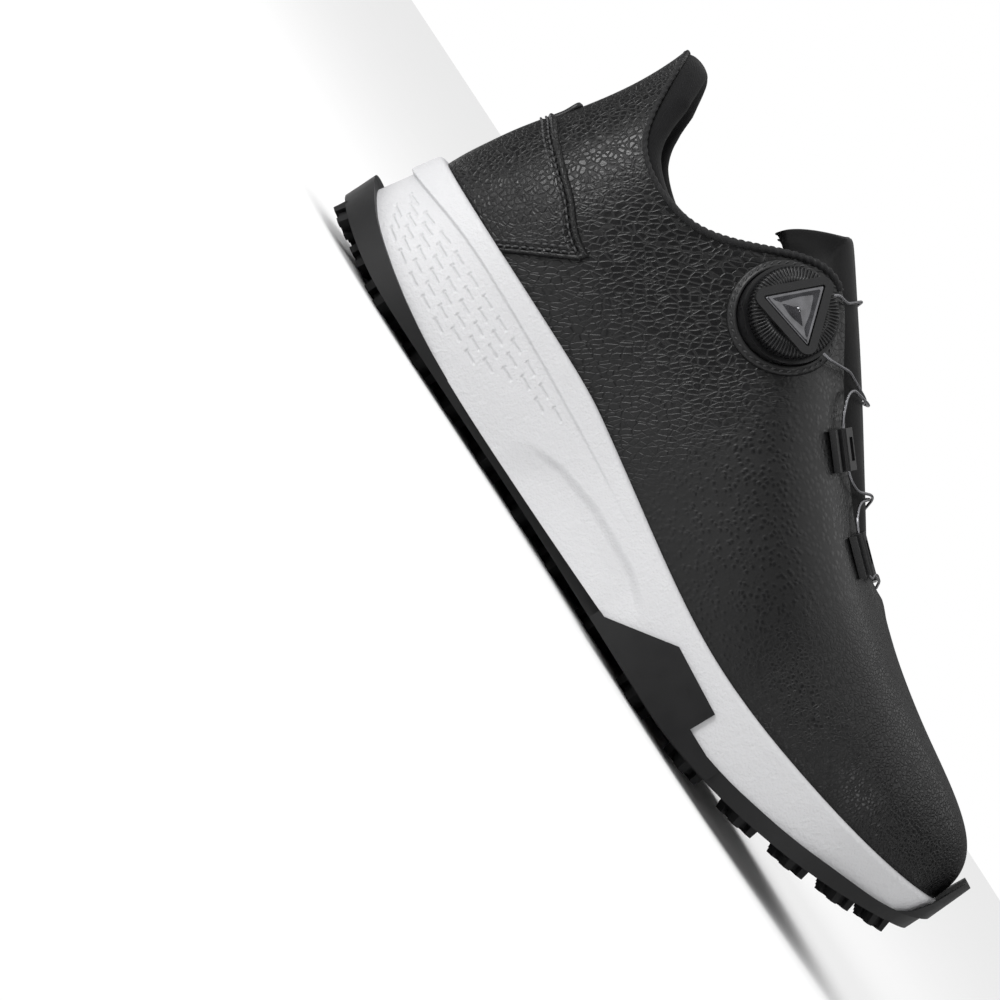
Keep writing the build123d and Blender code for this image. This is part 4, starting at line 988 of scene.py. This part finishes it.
def build_insert(material):
    """Bevelled three-sided insert of the cap: three facets round a raised middle."""
    corner, top = INSERT_CORNER, INSERT_TOP
    angles = np.radians([97.0, 217.0, 337.0])
    corners = np.stack([np.cos(angles), np.sin(angles)], -1) * corner
    outline = []
    for k in range(3):
        a, b, c = corners[k - 1], corners[k], corners[(k + 1) % 3]
        before, after = unit(a - b), unit(c - b)
        for share in np.linspace(0.0, 1.0, 5):
            outline.append(b + (before * (1 - share) ** 2 + after * share**2) * 0.9)
        for share in np.linspace(0.12, 0.88, 12):
            outline.append(b + (c - b) * share)
    outline = np.array(outline)
    levels = [
        (1.0, 11.5, 0.0), (1.0, 12.05, 0.0), (0.93, top, 0.0), (0.8, top, 0.0), (0.72, top - 0.35, 0.0),
        (0.5, top - 0.42, 0.2), (0.34, top + 0.05, 0.8), (0.18, top + 0.3, 1.0), (0.02, top + 0.38, 1.0),
    ]
    rings = []
    for scale, z, roundness in levels:
        ring = outline * scale
        circle = unit(outline) * corner * 0.62 * scale
        ring = ring * (1.0 - roundness) + circle * roundness
        rings.append(np.concatenate([ring, np.full((len(ring), 1), z)], 1))
    points = np.array(rings)
    return grid_piece("cap_insert", from_dial(points), material, close_v=True, caps=True)


def build_flange(material):
    """Padded ring round the dial's base, lying on the quarter, with a pressed outer edge."""
    steps = 220
    angle = np.linspace(0, 2 * np.pi, steps, endpoint=False)
    radii = np.array([16.45, 16.6, 17.0, 17.6, 18.2, 18.8, 19.3, 19.55, 19.6])
    heights = np.array([0.7, 1.5, 1.75, 1.45, 1.2, 1.25, 1.0, 0.5, -0.2])
    share = np.array([0, 0, 0, 0, 0.2, 1.0, 1.0, 0.6, 0])
    pleat = PLEAT_DEPTH * (0.5 + 0.5 * np.cos(angle * PLEAT_COUNT))[:, None] * share[None, :]
    base = quarter_height(angle, radii)
    x, y = radii[None, :] * np.cos(angle)[:, None], radii[None, :] * np.sin(angle)[:, None]
    top = from_dial(np.stack([x, y, base + heights[None, :] - pleat], -1))
    under = from_dial(np.stack([x, y, base - 0.6], -1))
    points = np.concatenate([top, under[:, ::-1]], 1)
    return grid_piece("dial_ring", points, material, close_u=True, close_v=True)


def quarter_height(angle, radii):
    """Height of the quarter's skin over the dial's own plane, at polar places round the dial."""
    t = np.linspace(5.6, 8.6, 260)[:, None]
    v = np.linspace(0.5, 1.0, 240)[None, :]
    local = in_dial(skin_point(t, v)).reshape(-1, 3)
    local = local[(np.hypot(local[:, 0], local[:, 1]) < 26.0) & (local[:, 2] > -12.0)]
    heights = np.zeros((len(angle), len(radii)))
    for i, a in enumerate(angle):
        for j, r in enumerate(radii):
            d = (local[:, 0] - r * math.cos(a)) ** 2 + (local[:, 1] - r * math.sin(a)) ** 2
            heights[i, j] = local[int(np.argmin(d)), 2]
    for _ in range(3):
        heights = (heights + np.roll(heights, 1, 0) + np.roll(heights, -1, 0)) / 3.0
    return heights


# Operators

class GolfShoeSettings(bpy.types.PropertyGroup):
    """Sizes and colours that a user would change."""

    leather_colour: bpy.props.FloatVectorProperty(
        name="Leather", description="Colour of the coated leather", subtype="COLOR", size=3, min=0.0, max=1.0,
        default=(0.0035, 0.0035, 0.0038))
    lining_colour: bpy.props.FloatVectorProperty(
        name="Lining", description="Colour of lining and piping", subtype="COLOR", size=3, min=0.0, max=1.0,
        default=(0.006, 0.006, 0.0065))
    rubber_colour: bpy.props.FloatVectorProperty(
        name="Rubber", description="Colour of the outsole", subtype="COLOR", size=3, min=0.0, max=1.0,
        default=(0.0045, 0.0045, 0.005))
    foam_colour: bpy.props.FloatVectorProperty(
        name="Foam", description="Colour of the midsole", subtype="COLOR", size=3, min=0.0, max=1.0,
        default=(0.52, 0.52, 0.53))
    thread_colour: bpy.props.FloatVectorProperty(
        name="Thread", description="Colour of the stitches", subtype="COLOR", size=3, min=0.0, max=1.0,
        default=(0.03, 0.03, 0.031))
    grain_size: bpy.props.FloatProperty(
        name="Grain", description="Usual width of one pebble", default=0.00175, min=0.0005, max=0.01,
        unit="LENGTH")
    stitch_length: bpy.props.FloatProperty(
        name="Stitch", description="Length of one stitch", default=0.0021, min=0.001, max=0.006,
        unit="LENGTH")


class GOLFSHOE_OT_upper(bpy.types.Operator):
    """Build the leather skin of the upper"""

    bl_idname = "golfshoe.upper"
    bl_label = "Upper"

    def execute(self, context):
        settings = context.scene.golf_shoe
        skin = build_skin(leather_finish(settings))
        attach(skin, "root")
        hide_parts("upper_shell", "heel_counter", "toe_puff", "quarter_foam")
        return {"FINISHED"}


class GOLFSHOE_OT_heel(bpy.types.Operator):
    """Build the heel panel with its stitch rows"""

    bl_idname = "golfshoe.heel"
    bl_label = "Heel panel"

    def execute(self, context):
        settings = context.scene.golf_shoe
        panel, (t, v) = build_overlay(leather_finish(settings))
        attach(panel, "root")
        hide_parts("heel_overlay")
        tab = build_tab(smooth_leather_finish(settings))
        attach(tab, "root")
        rows = [inset_row(t, v, 3.1, lift=OVERLAY - 0.25), inset_row(t, v, 4.9, lift=OVERLAY - 0.1)]
        thread = stitches("heel_stitches", rows, thread_finish(settings), settings.stitch_length / MM,
                          STITCH_RADIUS, STITCH_STEP)
        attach(thread, "root")
        return {"FINISHED"}


class GOLFSHOE_OT_collar(bpy.types.Operator):
    """Build the padded collar lining and the piping along the topline"""

    bl_idname = "golfshoe.collar"
    bl_label = "Collar"

    def execute(self, context):
        settings = context.scene.golf_shoe
        lining = build_lining(knit_finish(settings))
        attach(lining, "root")
        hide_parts("lining", "collar_foam")
        piping = build_piping(binding_finish(settings))
        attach(piping, "root")
        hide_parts("collar_binding")
        return {"FINISHED"}


class GOLFSHOE_OT_tongue(bpy.types.Operator):
    """Build the padded tongue"""

    bl_idname = "golfshoe.tongue"
    bl_label = "Tongue"

    def execute(self, context):
        tongue = build_tongue(microfibre_finish(context.scene.golf_shoe))
        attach(tongue, "root")
        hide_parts("tongue_shell", "tongue_foam", "tongue_lining")
        return {"FINISHED"}


class GOLFSHOE_OT_footbed(bpy.types.Operator):
    """Build the removable footbed"""

    bl_idname = "golfshoe.footbed"
    bl_label = "Footbed"

    def execute(self, context):
        bed = build_footbed(footbed_finish(context.scene.golf_shoe))
        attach(bed, "root")
        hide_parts("sockliner")
        dress("strobel_board", plastic_finish("stitched_board", (0.16, 0.16, 0.15), 0.9, 0.1))
        return {"FINISHED"}


class GOLFSHOE_OT_sole(bpy.types.Operator):
    """Build the foam midsole and finish the rubber outsole"""

    bl_idname = "golfshoe.sole"
    bl_label = "Sole"

    def execute(self, context):
        settings = context.scene.golf_shoe
        foam = build_midsole(foam_finish(settings))
        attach(foam, "root")
        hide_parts("midsole")
        dress("outsole", rubber_finish(settings))
        soften("outsole", 0.25, 40.0)
        return {"FINISHED"}


class GOLFSHOE_OT_dial(bpy.types.Operator):
    """Build the dial: flange, housing, ribbed knob and cap"""

    bl_idname = "golfshoe.dial"
    bl_label = "Dial"

    def execute(self, context):
        settings = context.scene.golf_shoe
        satin = plastic_finish("satin_plastic", (0.007, 0.007, 0.0075), 0.3)
        grip = plastic_finish("knob_plastic", (0.005, 0.005, 0.0055), 0.34)
        knob = build_knob(grip)
        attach(knob, "knob")
        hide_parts("knob_core", "knob_grip")
        insert = build_insert(gloss_finish())
        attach(insert, "knob")
        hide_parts("cap_inlay")
        ring = build_flange(smooth_leather_finish(settings))
        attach(ring, "root")
        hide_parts("dial_flange")
        for node in ("dial_housing", "cap_frame"):
            dress(node, satin)
            soften(node, 0.3)
        for node in ("pawl_disc", "spool", "detent_bushing"):
            dress(node, grip)
        dress("dial_screw", steel_finish())
        angle = np.linspace(0.0, 2 * np.pi, 200)
        radii = np.array([DIAL_STITCH_CIRCLE])
        base = quarter_height(angle, radii)
        x, y = DIAL_STITCH_CIRCLE * np.cos(angle), DIAL_STITCH_CIRCLE * np.sin(angle)
        path = from_dial(np.stack([x, y, base[:, 0] + DIAL_STITCH_HEIGHT], -1))
        normals = np.repeat(DIAL_TURN[:, 2][None], len(path), 0)
        thread = stitches("dial_stitches", [(path, normals)], thread_finish(settings), 1.7, 0.3, 2.6, 0.5)
        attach(thread, "root")
        return {"FINISHED"}


class GOLFSHOE_OT_lacing(bpy.types.Operator):
    """Finish the steel lace and its moulded guides"""

    bl_idname = "golfshoe.lacing"
    bl_label = "Lacing"

    def execute(self, context):
        steel = steel_finish()
        for node in ("lace", "lace_winding"):
            dress(node, steel)
        moulded = plastic_finish("guide_plastic", (0.008, 0.008, 0.0085), 0.38)
        for node in GUIDES:
            dress(node, moulded)
            soften(node, 0.25)
        return {"FINISHED"}


def look_at(piece, target):
    """Turns a camera or light towards a point."""
    direction = Vector(target) - piece.location
    piece.rotation_euler = direction.to_track_quat("-Z", "Y").to_euler()


def add_area(name, place, target, size, power):
    light = bpy.data.lights.new(name, "AREA")
    light.shape = "DISK"
    light.size = size
    light.energy = power
    made = bpy.data.objects.new(name, light)
    bpy.context.scene.collection.objects.link(made)
    made.location = place
    look_at(made, target)
    return made


class GOLFSHOE_OT_stage(bpy.types.Operator):
    """Set the floor, the studio light and the camera"""

    bl_idname = "golfshoe.stage"
    bl_label = "Stage"

    def execute(self, context):
        scene = context.scene
        world = bpy.data.worlds.new("studio")
        world.use_nodes = True
        nodes, links = world.node_tree.nodes, world.node_tree.links
        backdrop = nodes["Background"]
        backdrop.inputs["Color"].default_value = (1.0, 1.0, 1.0, 1.0)
        seen = nodes.new("ShaderNodeLightPath").outputs["Is Camera Ray"]
        strength = nodes.new("ShaderNodeMapRange")
        strength.inputs["To Min"].default_value = 0.14
        strength.inputs["To Max"].default_value = 1.0
        links.new(seen, strength.inputs["Value"])
        links.new(strength.outputs[0], backdrop.inputs["Strength"])
        scene.world = world
        paint = Finish("pale_floor", (0.9, 0.9, 0.9), 1.0, Specular_IOR_Level=0.0)
        paint.tint(paint.noise(60.0), (0.895, 0.895, 0.895), (0.905, 0.905, 0.905))
        turn = np.linspace(0.0, 2.0 * np.pi, 96, endpoint=False)
        rim = np.stack([FLOOR_REACH * np.cos(turn), FLOOR_REACH * np.sin(turn), 0.0 * turn], -1)
        floor = add_object("floor", rim, [list(range(len(rim)))], paint.material, shade=False)
        add_area("key_light", (-0.85, -0.6, 0.4), (-0.03, 0.0, 0.07), 0.5, 9.5)
        add_area("toe_light", (0.75, -0.75, 0.3), (0.05, 0.0, 0.05), 0.4, 2.2)
        sky = bpy.data.lights.new("soft_sky", "SUN")
        sky.energy, sky.angle = 2.4, math.radians(100.0)
        scene.collection.objects.link(bpy.data.objects.new("soft_sky", sky))
        camera_data = bpy.data.cameras.new("camera")
        camera_data.lens = 160.0
        camera_data.sensor_width = 36.0
        camera = bpy.data.objects.new("camera", camera_data)
        scene.collection.objects.link(camera)
        azimuth, elevation, roll, distance = math.radians(3.0), math.radians(4.0), 0.9934, 1.432
        target = Vector((-0.03736, -0.048, 0.00069))
        level = math.cos(elevation)
        back = Vector((math.sin(azimuth) * level, -math.cos(azimuth) * level, math.sin(elevation)))
        right = Vector((math.cos(roll), 0.0, math.sin(roll)))
        right = (right - back * right.dot(back)).normalized()
        up = back.cross(right)
        turn = Matrix((right, up, back)).transposed()
        camera.matrix_world = Matrix.Translation(target + back * distance) @ turn.to_4x4()
        scene.camera = camera
        scene.view_settings.view_transform = "Standard"
        scene.view_settings.look = "None"
        return {"FINISHED"}


class GOLFSHOE_PT_panel(bpy.types.Panel):
    """Lists the pieces of the shoe"""

    bl_idname = "GOLFSHOE_PT_panel"
    bl_label = "Golf Shoe"
    bl_space_type = "VIEW_3D"
    bl_region_type = "UI"
    bl_category = "Golf Shoe"

    def draw(self, context):
        settings = context.scene.golf_shoe
        for name in GolfShoeSettings.__annotations__:
            self.layout.prop(settings, name)
        for operator in OPERATORS:
            self.layout.operator(operator.bl_idname)


OPERATORS = (
    GOLFSHOE_OT_stage, GOLFSHOE_OT_lacing, GOLFSHOE_OT_upper, GOLFSHOE_OT_heel, GOLFSHOE_OT_collar,
    GOLFSHOE_OT_tongue, GOLFSHOE_OT_footbed, GOLFSHOE_OT_sole, GOLFSHOE_OT_dial,
)
CLASSES = (GolfShoeSettings, *OPERATORS, GOLFSHOE_PT_panel)


def register():
    for cls in CLASSES:
        bpy.utils.register_class(cls)
    bpy.types.Scene.golf_shoe = bpy.props.PointerProperty(type=GolfShoeSettings)


def unregister():
    del bpy.types.Scene.golf_shoe
    for cls in reversed(CLASSES):
        bpy.utils.unregister_class(cls)


def main():
    register()
    for operator in OPERATORS:
        group, name = operator.bl_idname.split(".")
        getattr(getattr(bpy.ops, group), name)()


if __name__ == "__main__":
    main()
